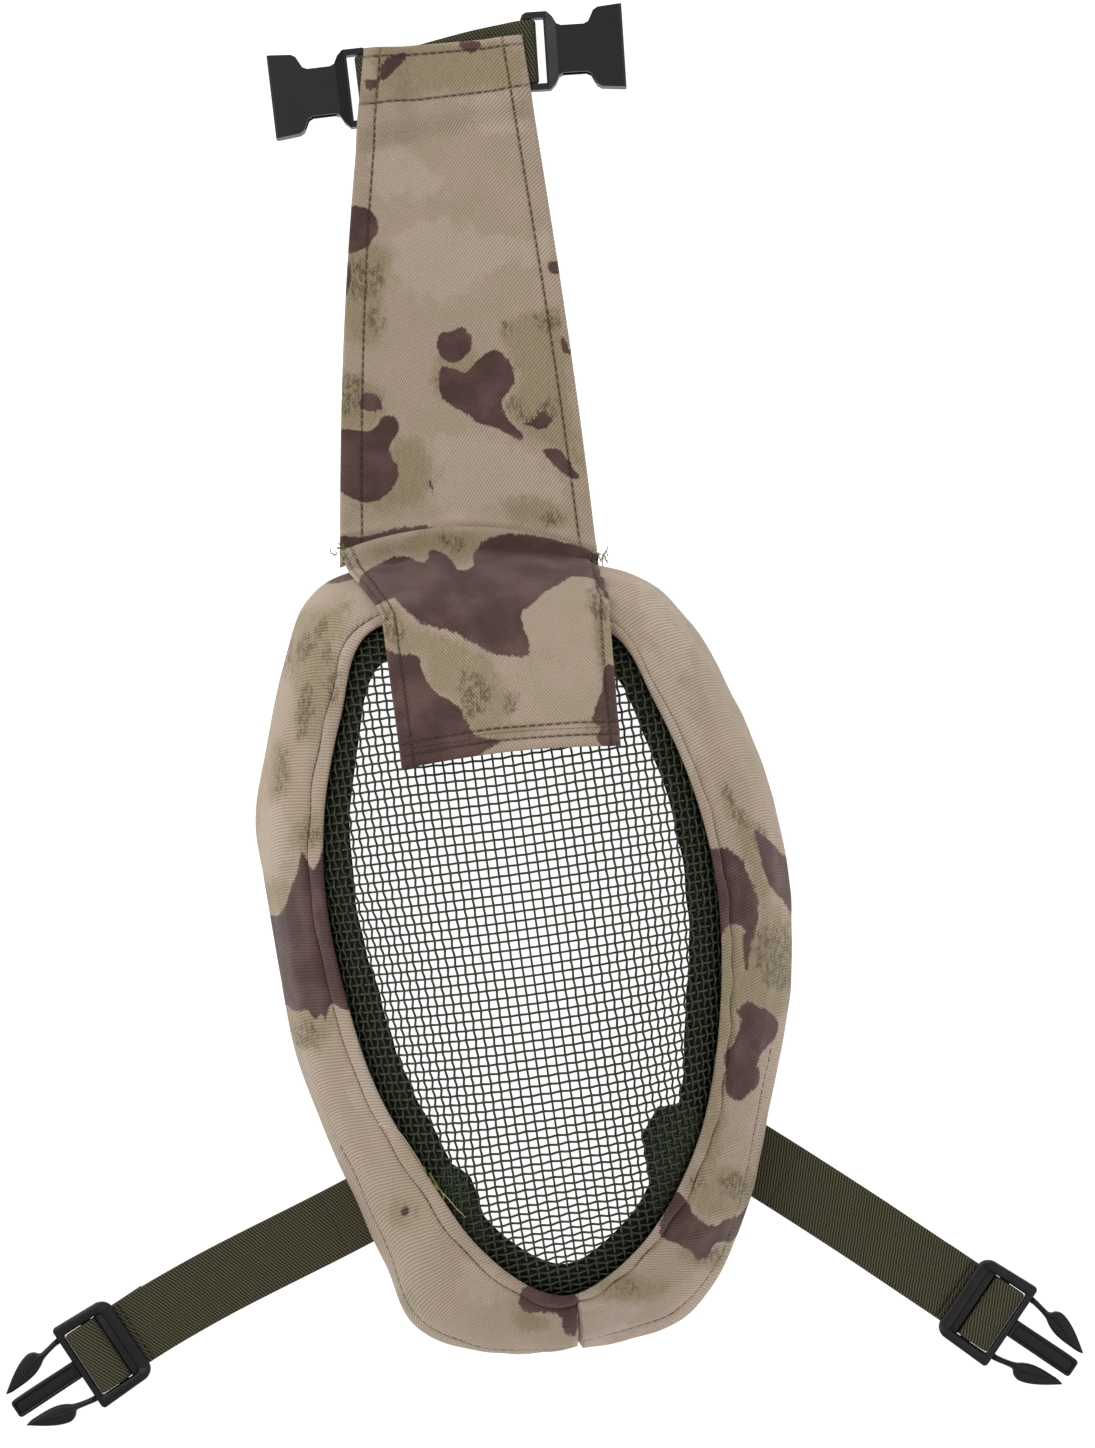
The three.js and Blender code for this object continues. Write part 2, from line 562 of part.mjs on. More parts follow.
function maleFrame() {
  const c = 2.6;
  const plan = [
    [c, -frameHalf], [frameLength - 1, -frameHalf], [frameLength, 1 - frameHalf], [frameLength, frameHalf - 1],
    [frameLength - 1, frameHalf], [c, frameHalf], [0.8, frameHalf - 0.8], [0, frameHalf - c],
    [0, c - frameHalf], [0.8, 0.8 - frameHalf],
  ];
  const side = [
    [0, 1.6], [0, 5.6], [1.2, frameHeight], [16, frameHeight], [20, 5.8], [frameLength, 5.4],
    [frameLength, 0.8], [20, 0.3], [1.2, 0.3],
  ];
  const inner = frameHalf - railWidth;
  const body = solid(slab(plan, 0, frameHeight)).intersect(solid(across(side, 40)));
  const opening = solid(box(5, frameLength - 2.7, -inner, inner, -1, 8));
  const underBar = solid(box(-1, 5.5, -inner, inner, -1, 3.4));
  const { s0, s1, z0, z1 } = adjuster;
  const e = 0.5;
  const barSide = [
    [s0, z0 + e], [s0 + e, z0], [s1 - e, z0], [s1, z0 + e],
    [s1, z1 - e], [s1 - e, z1], [s0 + e, z1], [s0, z1 - e],
  ];
  const bar = solid(across(barSide, 2 * inner + 1));
  const tip = frameLength + prongLength;
  const prong = solid(slab([
    [frameLength - 1, -3.2], [tip - 1.6, -3.2], [tip, -2.2], [tip, 2.2], [tip - 1.6, 3.2], [frameLength - 1, 3.2],
  ], 0.9, 4.6));
  const groove = solid(box(frameLength + 3, tip - 3, -1.8, 1.8, 3.5, 5));
  return geometryOf(body.subtract(opening).subtract(underBar).add(bar).add(prong.subtract(groove)));
}

for (const [side, strap] of Object.entries(straps)) {
  const { path, reach } = strap;
  const low = strapSlack + strapThickness / 2;
  const line = [0.012, 0.2, 0.4, 0.6].map((k) => [reach * k, low]);
  line.push([reach - 24, low], [reach - 17, 1.6], [reach - 12.5, 2.3], [reach - 1.8, 2.4]);
  add(`strap_${side}`, band(path, line, strapWidth, strapThickness), webbing());
  const end = path.at(path.length);
  const put = (geometry) => place(geometry, end.x, end.y, strap.endHeading);
  add(`strap_loop_${side}`, put(across(thickLine(loopLine, strapThickness), strapWidth)), webbing());
  add(`male_frame_${side}`, put(maleFrame()), plastic());
  for (const [name, hand] of [["upper", strap.side], ["lower", -strap.side]]) {
    const arm = slab(armHalf.map(([s, w]) => [s, w * hand]), 1.1, 4.5, 0.3);
    add(`male_arm_${side}_${name}`, put(arm), plastic());
  }
}

export default group;
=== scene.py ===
# Camo face mask: woven wire mesh in a padded cloth surround, nose flap, head panel and buckled straps.
# Sizes are in millimetres until a mesh is made; +Z is out of the front, +Y towards the head panel.
import json
import math

import bpy
import numpy as np
from mathutils import Vector
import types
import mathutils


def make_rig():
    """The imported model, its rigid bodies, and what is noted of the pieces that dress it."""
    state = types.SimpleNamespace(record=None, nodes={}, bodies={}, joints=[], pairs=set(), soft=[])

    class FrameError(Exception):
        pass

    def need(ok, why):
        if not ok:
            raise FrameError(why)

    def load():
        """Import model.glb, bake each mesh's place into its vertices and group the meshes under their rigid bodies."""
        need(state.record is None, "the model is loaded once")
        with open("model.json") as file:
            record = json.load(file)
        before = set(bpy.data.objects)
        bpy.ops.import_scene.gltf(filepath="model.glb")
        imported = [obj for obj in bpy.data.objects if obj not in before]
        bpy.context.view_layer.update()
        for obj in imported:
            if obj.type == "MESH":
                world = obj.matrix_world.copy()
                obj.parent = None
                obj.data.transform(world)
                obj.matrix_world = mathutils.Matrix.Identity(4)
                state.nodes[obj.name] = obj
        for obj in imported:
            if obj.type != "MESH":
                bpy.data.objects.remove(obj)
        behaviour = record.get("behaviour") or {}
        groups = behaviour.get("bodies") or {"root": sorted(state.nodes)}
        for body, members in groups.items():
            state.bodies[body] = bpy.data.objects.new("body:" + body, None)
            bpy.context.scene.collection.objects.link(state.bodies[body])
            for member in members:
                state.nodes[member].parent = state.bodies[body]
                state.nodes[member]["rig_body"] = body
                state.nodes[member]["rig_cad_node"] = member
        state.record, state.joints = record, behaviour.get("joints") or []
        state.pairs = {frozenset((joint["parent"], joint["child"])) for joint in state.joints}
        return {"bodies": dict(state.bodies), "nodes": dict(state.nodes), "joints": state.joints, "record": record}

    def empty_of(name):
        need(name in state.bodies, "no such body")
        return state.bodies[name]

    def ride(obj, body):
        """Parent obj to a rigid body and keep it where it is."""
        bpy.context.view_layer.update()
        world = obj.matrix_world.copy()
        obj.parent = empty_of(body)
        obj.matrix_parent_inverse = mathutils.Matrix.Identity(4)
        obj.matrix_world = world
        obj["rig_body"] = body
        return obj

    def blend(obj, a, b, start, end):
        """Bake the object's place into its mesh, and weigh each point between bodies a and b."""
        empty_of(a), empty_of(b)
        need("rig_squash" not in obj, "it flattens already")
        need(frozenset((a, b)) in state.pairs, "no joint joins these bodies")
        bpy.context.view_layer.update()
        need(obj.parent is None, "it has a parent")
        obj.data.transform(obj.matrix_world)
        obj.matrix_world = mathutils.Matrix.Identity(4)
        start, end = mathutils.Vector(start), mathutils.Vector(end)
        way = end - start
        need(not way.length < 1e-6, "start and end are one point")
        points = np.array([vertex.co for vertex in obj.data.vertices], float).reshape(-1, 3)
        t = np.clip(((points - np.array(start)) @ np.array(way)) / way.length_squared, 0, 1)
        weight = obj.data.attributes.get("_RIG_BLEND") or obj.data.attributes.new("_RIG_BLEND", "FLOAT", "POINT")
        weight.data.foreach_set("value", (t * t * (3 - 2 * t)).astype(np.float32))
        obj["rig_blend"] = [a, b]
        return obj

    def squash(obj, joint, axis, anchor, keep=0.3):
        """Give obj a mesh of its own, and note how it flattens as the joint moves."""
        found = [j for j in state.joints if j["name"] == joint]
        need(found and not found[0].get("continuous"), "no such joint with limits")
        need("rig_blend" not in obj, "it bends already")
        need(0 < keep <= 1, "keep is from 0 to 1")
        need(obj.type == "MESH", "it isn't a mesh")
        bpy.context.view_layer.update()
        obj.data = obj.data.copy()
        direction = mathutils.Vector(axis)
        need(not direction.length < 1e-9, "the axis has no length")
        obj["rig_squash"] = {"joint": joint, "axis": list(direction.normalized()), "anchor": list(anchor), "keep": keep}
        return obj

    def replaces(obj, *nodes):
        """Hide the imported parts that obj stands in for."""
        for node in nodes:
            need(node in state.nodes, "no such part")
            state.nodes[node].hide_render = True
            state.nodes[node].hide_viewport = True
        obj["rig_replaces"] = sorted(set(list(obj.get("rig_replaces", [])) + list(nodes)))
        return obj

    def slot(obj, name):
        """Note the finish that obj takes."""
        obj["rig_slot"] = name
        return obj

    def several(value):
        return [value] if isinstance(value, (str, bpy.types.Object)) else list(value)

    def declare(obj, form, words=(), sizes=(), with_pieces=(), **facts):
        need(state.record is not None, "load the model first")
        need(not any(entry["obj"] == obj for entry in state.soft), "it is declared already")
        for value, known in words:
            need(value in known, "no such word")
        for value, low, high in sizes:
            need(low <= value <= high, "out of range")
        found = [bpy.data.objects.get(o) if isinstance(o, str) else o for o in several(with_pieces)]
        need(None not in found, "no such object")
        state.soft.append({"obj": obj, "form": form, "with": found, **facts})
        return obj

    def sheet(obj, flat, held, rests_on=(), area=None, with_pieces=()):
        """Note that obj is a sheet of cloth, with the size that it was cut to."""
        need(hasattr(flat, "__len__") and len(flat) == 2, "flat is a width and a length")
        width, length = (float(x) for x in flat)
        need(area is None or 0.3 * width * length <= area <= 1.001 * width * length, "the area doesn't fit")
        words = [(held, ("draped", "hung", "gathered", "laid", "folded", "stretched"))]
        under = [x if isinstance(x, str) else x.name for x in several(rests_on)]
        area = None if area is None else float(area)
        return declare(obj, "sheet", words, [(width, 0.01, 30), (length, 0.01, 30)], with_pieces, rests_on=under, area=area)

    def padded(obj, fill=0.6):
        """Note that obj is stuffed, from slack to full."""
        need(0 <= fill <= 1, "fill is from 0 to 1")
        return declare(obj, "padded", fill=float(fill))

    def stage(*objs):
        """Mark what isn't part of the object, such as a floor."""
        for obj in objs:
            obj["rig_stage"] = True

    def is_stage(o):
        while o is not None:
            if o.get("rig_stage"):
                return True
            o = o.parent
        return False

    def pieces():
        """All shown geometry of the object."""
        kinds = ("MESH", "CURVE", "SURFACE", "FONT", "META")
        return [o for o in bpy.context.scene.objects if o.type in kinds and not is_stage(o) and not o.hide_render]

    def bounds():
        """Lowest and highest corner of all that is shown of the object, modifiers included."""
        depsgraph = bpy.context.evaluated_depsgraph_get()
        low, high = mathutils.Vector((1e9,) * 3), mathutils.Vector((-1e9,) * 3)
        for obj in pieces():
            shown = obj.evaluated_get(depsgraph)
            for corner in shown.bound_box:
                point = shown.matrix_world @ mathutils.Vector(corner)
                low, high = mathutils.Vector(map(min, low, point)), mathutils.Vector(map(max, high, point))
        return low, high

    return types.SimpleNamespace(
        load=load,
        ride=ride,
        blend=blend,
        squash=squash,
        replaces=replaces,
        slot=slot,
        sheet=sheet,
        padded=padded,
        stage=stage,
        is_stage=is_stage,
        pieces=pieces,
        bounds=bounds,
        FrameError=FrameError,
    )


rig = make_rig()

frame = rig.load()
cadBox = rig.bounds()
print("frame loaded")


# shader helpers
class Shade:
    def __init__(self, tree, socket):
        self.tree, self.socket = tree, socket

    def calc(self, operation, *values):
        return node(self.tree, "ShaderNodeMath", {"operation": operation}, values)

    def __add__(self, other): return self.calc("ADD", self, other)
    def __radd__(self, other): return self.calc("ADD", other, self)
    def __sub__(self, other): return self.calc("SUBTRACT", self, other)
    def __rsub__(self, other): return self.calc("SUBTRACT", other, self)
    def __mul__(self, other): return self.calc("MULTIPLY", self, other)
    def __rmul__(self, other): return self.calc("MULTIPLY", other, self)
    def wave(self): return self.calc("SINE", self)
    def size(self): return self.calc("ABSOLUTE", self)
    def least(self, other): return self.calc("MINIMUM", self, other)

    def soft(self, low, high):           # 0 below low, 1 above high, smooth between
        return node(self.tree, "ShaderNodeMapRange", {"interpolation_type": "SMOOTHSTEP"},
                    {"Value": self, "From Min": low, "From Max": high})


def node(tree, kind, settings=None, values=(), output=0):
    made = tree.nodes.new(kind)
    for name, value in (settings or {}).items():
        setattr(made, name, value)
    pairs = values.items() if isinstance(values, dict) else enumerate(values)
    for name, value in pairs:
        socket = made.inputs[name]
        if isinstance(value, Shade):
            tree.links.new(value.socket, socket)
        else:
            socket.default_value = (*value, 1) if getattr(value, "__len__", None) and len(value) == 3 \
                and socket.type == "RGBA" else value
    return Shade(tree, made.outputs[output])


def attribute(tree, name, output="Fac"):
    return node(tree, "ShaderNodeAttribute", {"attribute_name": name}, (), output)


def parted(tree, vector, axis):          # one part of a vector
    return node(tree, "ShaderNodeSeparateXYZ", {}, {"Vector": vector}, axis)


def noise(tree, place, scale, detail=3.0, rough=0.55, stretch=(1, 1, 1)):
    moved = node(tree, "ShaderNodeMapping", {}, {"Vector": place, "Scale": [scale * s for s in stretch]})
    values = {"Vector": moved, "Scale": 1.0, "Detail": detail, "Roughness": rough}
    return node(tree, "ShaderNodeTexNoise", {}, values)


def tint(tree, amount, low, high, blend="MIX"):
    return node(tree, "ShaderNodeMix", {"data_type": "RGBA", "blend_type": blend},
                {0: amount, 6: low, 7: high}, 2)


def linear(*rgb):                        # 0..255 screen colour to scene colour
    return tuple((c / 255 / 12.92) if c <= 10 else ((c / 255 + 0.055) / 1.055) ** 2.4 for c in rgb)


def finish(name, look, roughness=0.6, **fixed):
    material = bpy.data.materials.new(name)
    material.use_nodes = True
    tree = material.node_tree
    tree.nodes.clear()
    parts = look(tree)
    shader = tree.nodes.new("ShaderNodeBsdfPrincipled")
    shader.inputs["Roughness"].default_value = roughness
    for socket, value in fixed.items():
        shader.inputs[socket.replace("_", " ")].default_value = value
    for socket, value in parts.items():
        tree.links.new(value.socket, shader.inputs[socket])
    out = tree.nodes.new("ShaderNodeOutputMaterial")
    tree.links.new(shader.outputs[0], out.inputs[0])
    return material


def bump(tree, height, distance, strength=1.0):
    return node(tree, "ShaderNodeBump", {}, {"Strength": strength, "Distance": distance, "Height": height})


# finishes
camoDye = {
    "sand": linear(196, 177, 153), "rose": linear(203, 180, 160), "pale": linear(218, 199, 180),
    "khaki": linear(172, 156, 118), "moss": linear(88, 74, 50), "plum": linear(86, 60, 57),
    "plumLight": linear(114, 84, 80), "twillPitch": 0.95, "twillDepth": 0.00022,
}
webbingDye = {"dark": linear(24, 23, 15), "light": linear(106, 102, 74), "ribPitch": 1.1}
# lining colours: the thread's dye, and a near-black painted shade for the spacer mesh's holes
liningDye = {"thread": linear(78, 92, 62), "hole": linear(14, 18, 11), "cellPitch": 1.55}


def camoLook(tree):
    weave, spot = attribute(tree, "weave", "Vector"), attribute(tree, "spot", "Vector")
    across = parted(tree, weave, 0)
    along = parted(tree, weave, 1)
    full = 2 * math.pi / camoDye["twillPitch"]
    rib = ((across * (full * 0.86) - along * (full * 0.5)).wave() + 1) * 0.5
    thread = ((across * (full * 0.3) + along * (full * 0.95)).wave() + 1) * 0.5
    cloth = rib * 0.6 + rib * thread * 0.4
    stepped = node(tree, "ShaderNodeVectorMath", {"operation": "SNAP"}, {0: spot, 1: (1.5, 1.5, 400)})
    edge = noise(tree, spot, 0.14, 4, 0.62) - 0.5
    fray = noise(tree, spot, 0.85, 4, 0.75, (1, 0.4, 0.4)) - 0.5
    grain = noise(tree, spot, 2.6, 2, 0.6) - 0.5
    loose = noise(tree, spot, 0.055, 2).soft(0.42, 0.6)
    plum = attribute(tree, "plum") + edge * 2.5 + fray * (loose * 4 + 0.5) + grain * (loose * 1.4 + 0.3)
    plum = plum.soft(-0.3, 0.4)
    khaki = (attribute(tree, "khaki") + edge * 8 + fray * 7 + grain * 2).soft(-2.2, 2.6)
    pale = (attribute(tree, "pale") + (noise(tree, stepped, 0.2, 3) - 0.5) * 16).soft(-2.5, 2.5)
    speckled = (attribute(tree, "speck") + fray * 5 + edge * 5).soft(-1.5, 1.5)
    smudge = (speckled * 0.6 + khaki * 0.14) * (fray * 2.0 + grain * 1.2 + 0.55).soft(0.35, 0.75)
    wash = noise(tree, stepped, 0.05, 4, 0.6).soft(0.4, 0.62)
    base = tint(tree, wash, camoDye["sand"], camoDye["rose"])
    base = tint(tree, pale * 0.55, base, camoDye["pale"])
    base = tint(tree, khaki * (0.62 + fray * 0.5), base, camoDye["khaki"])
    base = tint(tree, smudge.least(1), base, camoDye["moss"])
    plumTone = tint(tree, noise(tree, spot, 0.07, 4).soft(0.38, 0.68), camoDye["plum"], camoDye["plumLight"])
    base = tint(tree, plum * 0.97, base, plumTone)
    gapA, gapB, gapC = (parted(tree, attribute(tree, "seam", "Vector"), i) for i in range(3))
    gap = gapA.size().least(gapB.size()).least(gapC.size())
    # the stitch grooves: sunk in the bump, and darkened in the colour as painted shade
    groove = 1 - gap.soft(0.15, 0.75)
    pucker = (1 - gap.soft(0.4, 3.4)) * ((along + across) * 2.1 + edge * 8).wave()
    # colour tone from weave, grain and fray, with painted shade in the stitch grooves and faint painted shading on the
    # puckers
    tone = cloth * 0.52 + grain * 0.4 + fray * 0.12 - groove * 0.32 + pucker * 0.03 + 0.7
    base = tint(tree, 1.0, base, node(tree, "ShaderNodeCombineXYZ", {}, [tone] * 3), "MULTIPLY")
    height = cloth + grain * 0.5 - groove * 1.4 + pucker * 0.5
    return {"Base Color": base, "Normal": bump(tree, height, camoDye["twillDepth"], 0.9),
            "Roughness": 0.92 - cloth * 0.1}


def webbingLook(tree):
    weave = attribute(tree, "weave", "Vector")
    across = parted(tree, weave, 0)
    along = parted(tree, weave, 1)
    full = 2 * math.pi / webbingDye["ribPitch"]
    rib = ((along * full + (across * (full * 0.25)).wave() * 0.5 + across * (full * 0.45)).wave() + 1) * 0.5
    twist = ((across * (full * 0.9)).wave() + 1) * 0.5
    fuzz = noise(tree, weave, 1.6, 3, 0.6)
    tone = rib * 0.75 + twist * 0.15 + fuzz * 0.25
    base = tint(tree, tone.soft(0.1, 1.0), webbingDye["dark"], webbingDye["light"])
    return {"Base Color": base, "Normal": bump(tree, rib + twist * 0.4 + fuzz * 0.3, 0.0003, 0.9)}


def liningLook(tree):
    weave = attribute(tree, "weave", "Vector")
    across = parted(tree, weave, 0)
    along = parted(tree, weave, 1)
    full = math.pi / liningDye["cellPitch"]
    slant = ((across * full + along * (full * 0.58)).wave()).size()
    other = ((across * full - along * (full * 0.58)).wave()).size()
    # the spacer mesh's holes: sunk in the bump and coloured near black as painted shade
    hole = slant.least(other).soft(0.25, 0.75)
    fuzz = noise(tree, weave, 1.3, 3, 0.6)
    base = tint(tree, hole, liningDye["thread"], liningDye["hole"])
    base = tint(tree, fuzz * 0.5, base, liningDye["hole"])
    return {"Base Color": base, "Normal": bump(tree, fuzz * 0.3 - hole, 0.0006, 1.0)}


def wireLook(tree):
    place = attribute(tree, "spot", "Vector")
    wear = noise(tree, place, 0.8, 3, 0.6).soft(0.5, 0.75)
    base = tint(tree, wear, linear(64, 68, 54), linear(92, 95, 80))
    return {"Base Color": base, "Roughness": 0.42 + wear * 0.2,
            "Normal": bump(tree, noise(tree, place, 3.0, 2), 0.0001, 0.5)}


def plasticLook(tree):
    place = node(tree, "ShaderNodeTexCoord", {}, (), "Object")
    grain = noise(tree, place, 1800, 2, 0.6)
    cloud = noise(tree, place, 90, 3, 0.5)
    base = tint(tree, cloud, linear(13, 12, 14), linear(20, 19, 22))
    return {"Base Color": base, "Roughness": 0.34 + cloud * 0.2,
            "Normal": bump(tree, grain, 0.00006, 0.6)}


def threadLook(low, high):
    def look(tree):
        place = node(tree, "ShaderNodeTexCoord", {}, (), "Object")
        tone = noise(tree, place, 700, 3, 0.6)
        return {"Base Color": tint(tree, tone.soft(0.3, 0.7), low, high),
                "Normal": bump(tree, noise(tree, place, 2500, 2), 0.0001, 0.7)}
    return look


def foamLook(tree):
    place = attribute(tree, "spot", "Vector")
    cell = noise(tree, place, 2.2, 3, 0.7)
    return {"Base Color": tint(tree, cell, linear(30, 34, 26), linear(52, 58, 44)),
            "Normal": bump(tree, cell, 0.0004, 0.8)}


camoCloth = finish("camoTwill", camoLook, Sheen_Weight=0.12, Sheen_Roughness=0.6, Specular_IOR_Level=0.25)
webbingCloth = finish("oliveWebbing", webbingLook, 0.82, Sheen_Weight=0.1, Specular_IOR_Level=0.3)
liningCloth = finish("spacerMesh", liningLook, 0.9, Specular_IOR_Level=0.2)
wirePaint = finish("paintedWire", wireLook, 0.5, Metallic=0.15, Specular_IOR_Level=0.4)
blackPlastic = finish("mouldedPlastic", plasticLook, 0.42, Specular_IOR_Level=0.45)
seamThread = finish("seamThread", threadLook(linear(62, 54, 34), linear(96, 86, 58)), 0.8)
greenThread = finish("overlockThread", threadLook(linear(92, 104, 48), linear(140, 148, 84)), 0.8)
paleThread = finish("looseThread", threadLook(linear(196, 188, 140), linear(226, 218, 186)), 0.8)
foamSkin = finish("closedFoam", foamLook, 0.92, Specular_IOR_Level=0.2)
print("finishes made")


# curves and surfaces
def lerp(a, b, k): return a + (b - a) * k


def hump(at, middle, width): return np.exp(-((at - middle) / width) ** 2)


def ease(k):
    k = np.clip(k, 0, 1)
    return k * k * (3 - 2 * k)


def through(points, count, closed=False):        # centripetal curve through points, evenly by parameter
    p = np.array(points, float)
    if closed:
        p = np.vstack([p[-1], p, p[0], p[1]])
    else:
        p = np.vstack([2 * p[0] - p[1], p, 2 * p[-1] - p[-2]])
    spans = len(p) - 3
    at = np.linspace(0, spans, count, endpoint=not closed)
    i = np.minimum(at.astype(int), spans - 1)
    k = (at - i)[:, None]
    a, b, c, d = p[i], p[i + 1], p[i + 2], p[i + 3]
    g0, g1, g2 = (np.maximum(np.linalg.norm(y - x, axis=1), 1e-6)[:, None] ** 0.5
                  for x, y in ((a, b), (b, c), (c, d)))
    m1 = ((b - a) / g0 - (c - a) / (g0 + g1) + (c - b) / g1) * g1
    m2 = ((c - b) / g1 - (d - b) / (g1 + g2) + (d - c) / g2) * g1
    return (2 * k**3 - 3 * k**2 + 1) * b + (k**3 - 2 * k**2 + k) * m1 \
        + (3 * k**2 - 2 * k**3) * c + (k**3 - k**2) * m2


def evened(points, step=None, count=None):       # the same line with points an even distance apart
    points = np.array(points, float)
    run = np.concatenate([[0], np.cumsum(np.linalg.norm(np.diff(points, axis=0), axis=1))])
    n = count or max(2, int(round(run[-1] / step)) + 1)
    at = np.linspace(0, run[-1], n)
    return np.stack([np.interp(at, run, points[:, i]) for i in range(points.shape[1])], 1)


def ripple(x, y, seed, wave, count=7):           # smooth unevenness, about -1..1
    draw = np.random.default_rng(seed)
    total = 0
    for _ in range(count):
        turn, phase, size = draw.uniform(0, 2 * math.pi), draw.uniform(0, 2 * math.pi), draw.uniform(0.7, 1.6)
        along = x * math.cos(turn) + y * math.sin(turn)
        total = total + np.sin(along * 2 * math.pi / (wave * size) + phase)
    return total / count**0.5 / 1.2


dome = {"width": 193, "length": 288, "depth": 88, "crownX": -3.9, "crownY": -90, "lean": 8.5,
        "fullness": 1.75, "swell": 5.2, "layerGap": 0.7}
rimShape = [
    (-0.74, 1.0), (-0.85, 0.93), (-0.935, 0.76), (-1.0, 0.58), (-1.045, 0.38), (-1.005, 0.2), (-0.962, 0),
    (-0.905, -0.2), (-0.79, -0.4), (-0.675, -0.56), (-0.55, -0.74), (-0.44, -0.895), (-0.24, -0.95),
    (0.02, -0.955), (0.24, -0.93), (0.4, -0.905), (0.54, -0.872), (0.67, -0.78), (0.77, -0.62),
    (0.87, -0.36), (0.945, -0.1), (0.955, 0.14), (0.94, 0.28), (0.863, 0.48), (0.72, 0.7), (0.56, 0.88),
    (0.34, 1.0), (0.14, 1.045), (-0.3, 1.06)]
openingShape = [
    (-0.6, 0.83), (-0.7, 0.62), (-0.755, 0.4), (-0.745, 0.17), (-0.665, -0.07), (-0.56, -0.27),
    (-0.37, -0.48), (-0.185, -0.65), (0.02, -0.755), (0.145, -0.765), (0.37, -0.645), (0.565, -0.42),
    (0.645, -0.18), (0.655, 0.17), (0.58, 0.42), (0.43, 0.66), (0.27, 0.83), (-0.15, 0.87)]
crown = np.array([dome["crownX"], dome["crownY"], 0.0])


def radiusOf(shape):
    line = through(np.array(shape) * [dome["width"] / 2, dome["length"] / 2], 1440, closed=True)
    angles, radii = np.arctan2(line[:, 1], line[:, 0]), np.hypot(line[:, 0], line[:, 1])
    order = np.argsort(angles)
    angles, radii = angles[order], radii[order]
    return lambda a: np.interp(np.arctan2(np.sin(a), np.cos(a)), angles, radii, period=2 * math.pi)


clothRadius, hemRadius = radiusOf(rimShape), radiusOf(openingShape)


def meshRadius(a): return clothRadius(a) - dome["swell"] - dome["layerGap"]


def sharpness(a): return 0.6 + 0.09 * np.cos(2 * a) - 0.05 * np.sin(a)


def heightAt(a, t):
    return dome["depth"] * np.maximum(0, 1 - np.maximum(t, 0) ** dome["fullness"]) ** sharpness(a)


def levelAt(a, z): return (1 - (z / dome["depth"]) ** (1 / sharpness(a))) ** (1 / dome["fullness"])


def ringRadius(a, t):
    turn = a - math.radians(dome["lean"])
    oval = 1 / np.hypot(np.cos(turn) / (dome["width"] * 0.45), np.sin(turn) / (dome["length"] * 0.48))
    return t * lerp(oval, meshRadius(a), ease(t * 1.15))


def levelOf(a, radius):
    t = radius / meshRadius(a)
    for _ in range(12):
        t = t * radius / np.maximum(ringRadius(a, t), 1e-9)
    return t


def onDish(a, t, d=0.0):                         # a point on the dome at angle a, level t, d outward
    a, t = np.broadcast_arrays(np.asarray(a, float), np.asarray(t, float))
    t0, t1 = np.maximum(0, np.minimum(t, 0.9995) - 0.004), np.minimum(0.9995, t + 0.004)
    dr, dz = ringRadius(a, t1) - ringRadius(a, t0), heightAt(a, t1) - heightAt(a, t0)
    run = np.maximum(np.hypot(dr, dz), 1e-9)
    r, z = ringRadius(a, t) - dz / run * d, heightAt(a, t) + dr / run * d
    return np.stack([crown[0] + r * np.cos(a), crown[1] + r * np.sin(a), z], -1)


def domeZ(x, y):
    a, r = np.arctan2(y - crown[1], x - crown[0]), np.hypot(x - crown[0], y - crown[1])
    return heightAt(a, np.minimum(levelOf(a, np.maximum(r, 1e-3)), 0.999))


def hemLevel(a): return levelOf(a, hemRadius(a))


def footLevel(a): return levelAt(a, 9.6)


def bandLevel(a, k): return lerp(hemLevel(a), footLevel(a), 1 - (1 - k) ** 1.5)


# mesh makers
# A mesh over one array of rings (rows, loop, 3) or a list of them; the two halves of each loop mirror.
def skin(name, rings, material, closed=False, body=None, weave=None, fields=None, seam=None):
    pieces = rings if isinstance(rings, list) else [rings]
    points, faces, start = [], [], 0
    for piece in pieces:
        rows, loop = piece.shape[:2]
        index = start + np.arange(rows * loop).reshape(rows, loop)
        nextRow = np.roll(index, -1, 0) if closed else index[1:]
        here = index if closed else index[:-1]
        around = [here, np.roll(here, -1, 1), np.roll(nextRow, -1, 1), nextRow]
        faces.append(np.stack(around, -1).reshape(-1, 4))
        if not closed:
            half = np.arange(loop // 2 - 1)
            for row, flip in ((index[0], False), (index[-1], True)):
                cap = np.stack([row[half], row[loop - 1 - half], row[loop - 2 - half], row[half + 1]], -1)
                faces.append(cap[:, ::-1] if flip else cap)
        points.append(piece.reshape(-1, 3))
        start += rows * loop
    points, faces = np.vstack(points), np.vstack(faces)
    a, b, c, d = (points[faces[:, i]] for i in range(4))
    volume = (np.cross(b - a, c - a) * a).sum() + (np.cross(c - a, d - a) * a).sum()
    if volume < 0:
        faces = faces[:, ::-1]
    mesh = bpy.data.meshes.new(name)
    mesh.vertices.add(len(points))
    mesh.vertices.foreach_set("co", (points * 0.001).astype(np.float32).ravel())
    mesh.loops.add(faces.size)
    mesh.loops.foreach_set("vertex_index", faces.astype(np.int32).ravel())
    mesh.polygons.add(len(faces))
    mesh.polygons.foreach_set("loop_start", np.arange(0, faces.size, 4, dtype=np.int32))
    mesh.update(calc_edges=True)
    mesh.validate()
    mesh.polygons.foreach_set("use_smooth", np.ones(len(mesh.polygons), bool))
    store(mesh, "spot", points)
    if weave is not None:
        store(mesh, "weave", weave.reshape(-1, 3))
    if seam is not None:
        store(mesh, "seam", seam.reshape(-1, 3))
    for field, values in (fields or {}).items():
        layer = mesh.attributes.new(field, "FLOAT", "POINT")
        layer.data.foreach_set("value", values.astype(np.float32).ravel())
    thing = bpy.data.objects.new(name, mesh)
    bpy.context.scene.collection.objects.link(thing)
    mesh.materials.append(material)
    if body:
        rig.ride(thing, body)
    return thing


def store(mesh, name, vectors):
    layer = mesh.attributes.new(name, "FLOAT_VECTOR", "POINT")
    layer.data.foreach_set("vector", vectors.astype(np.float32).ravel())


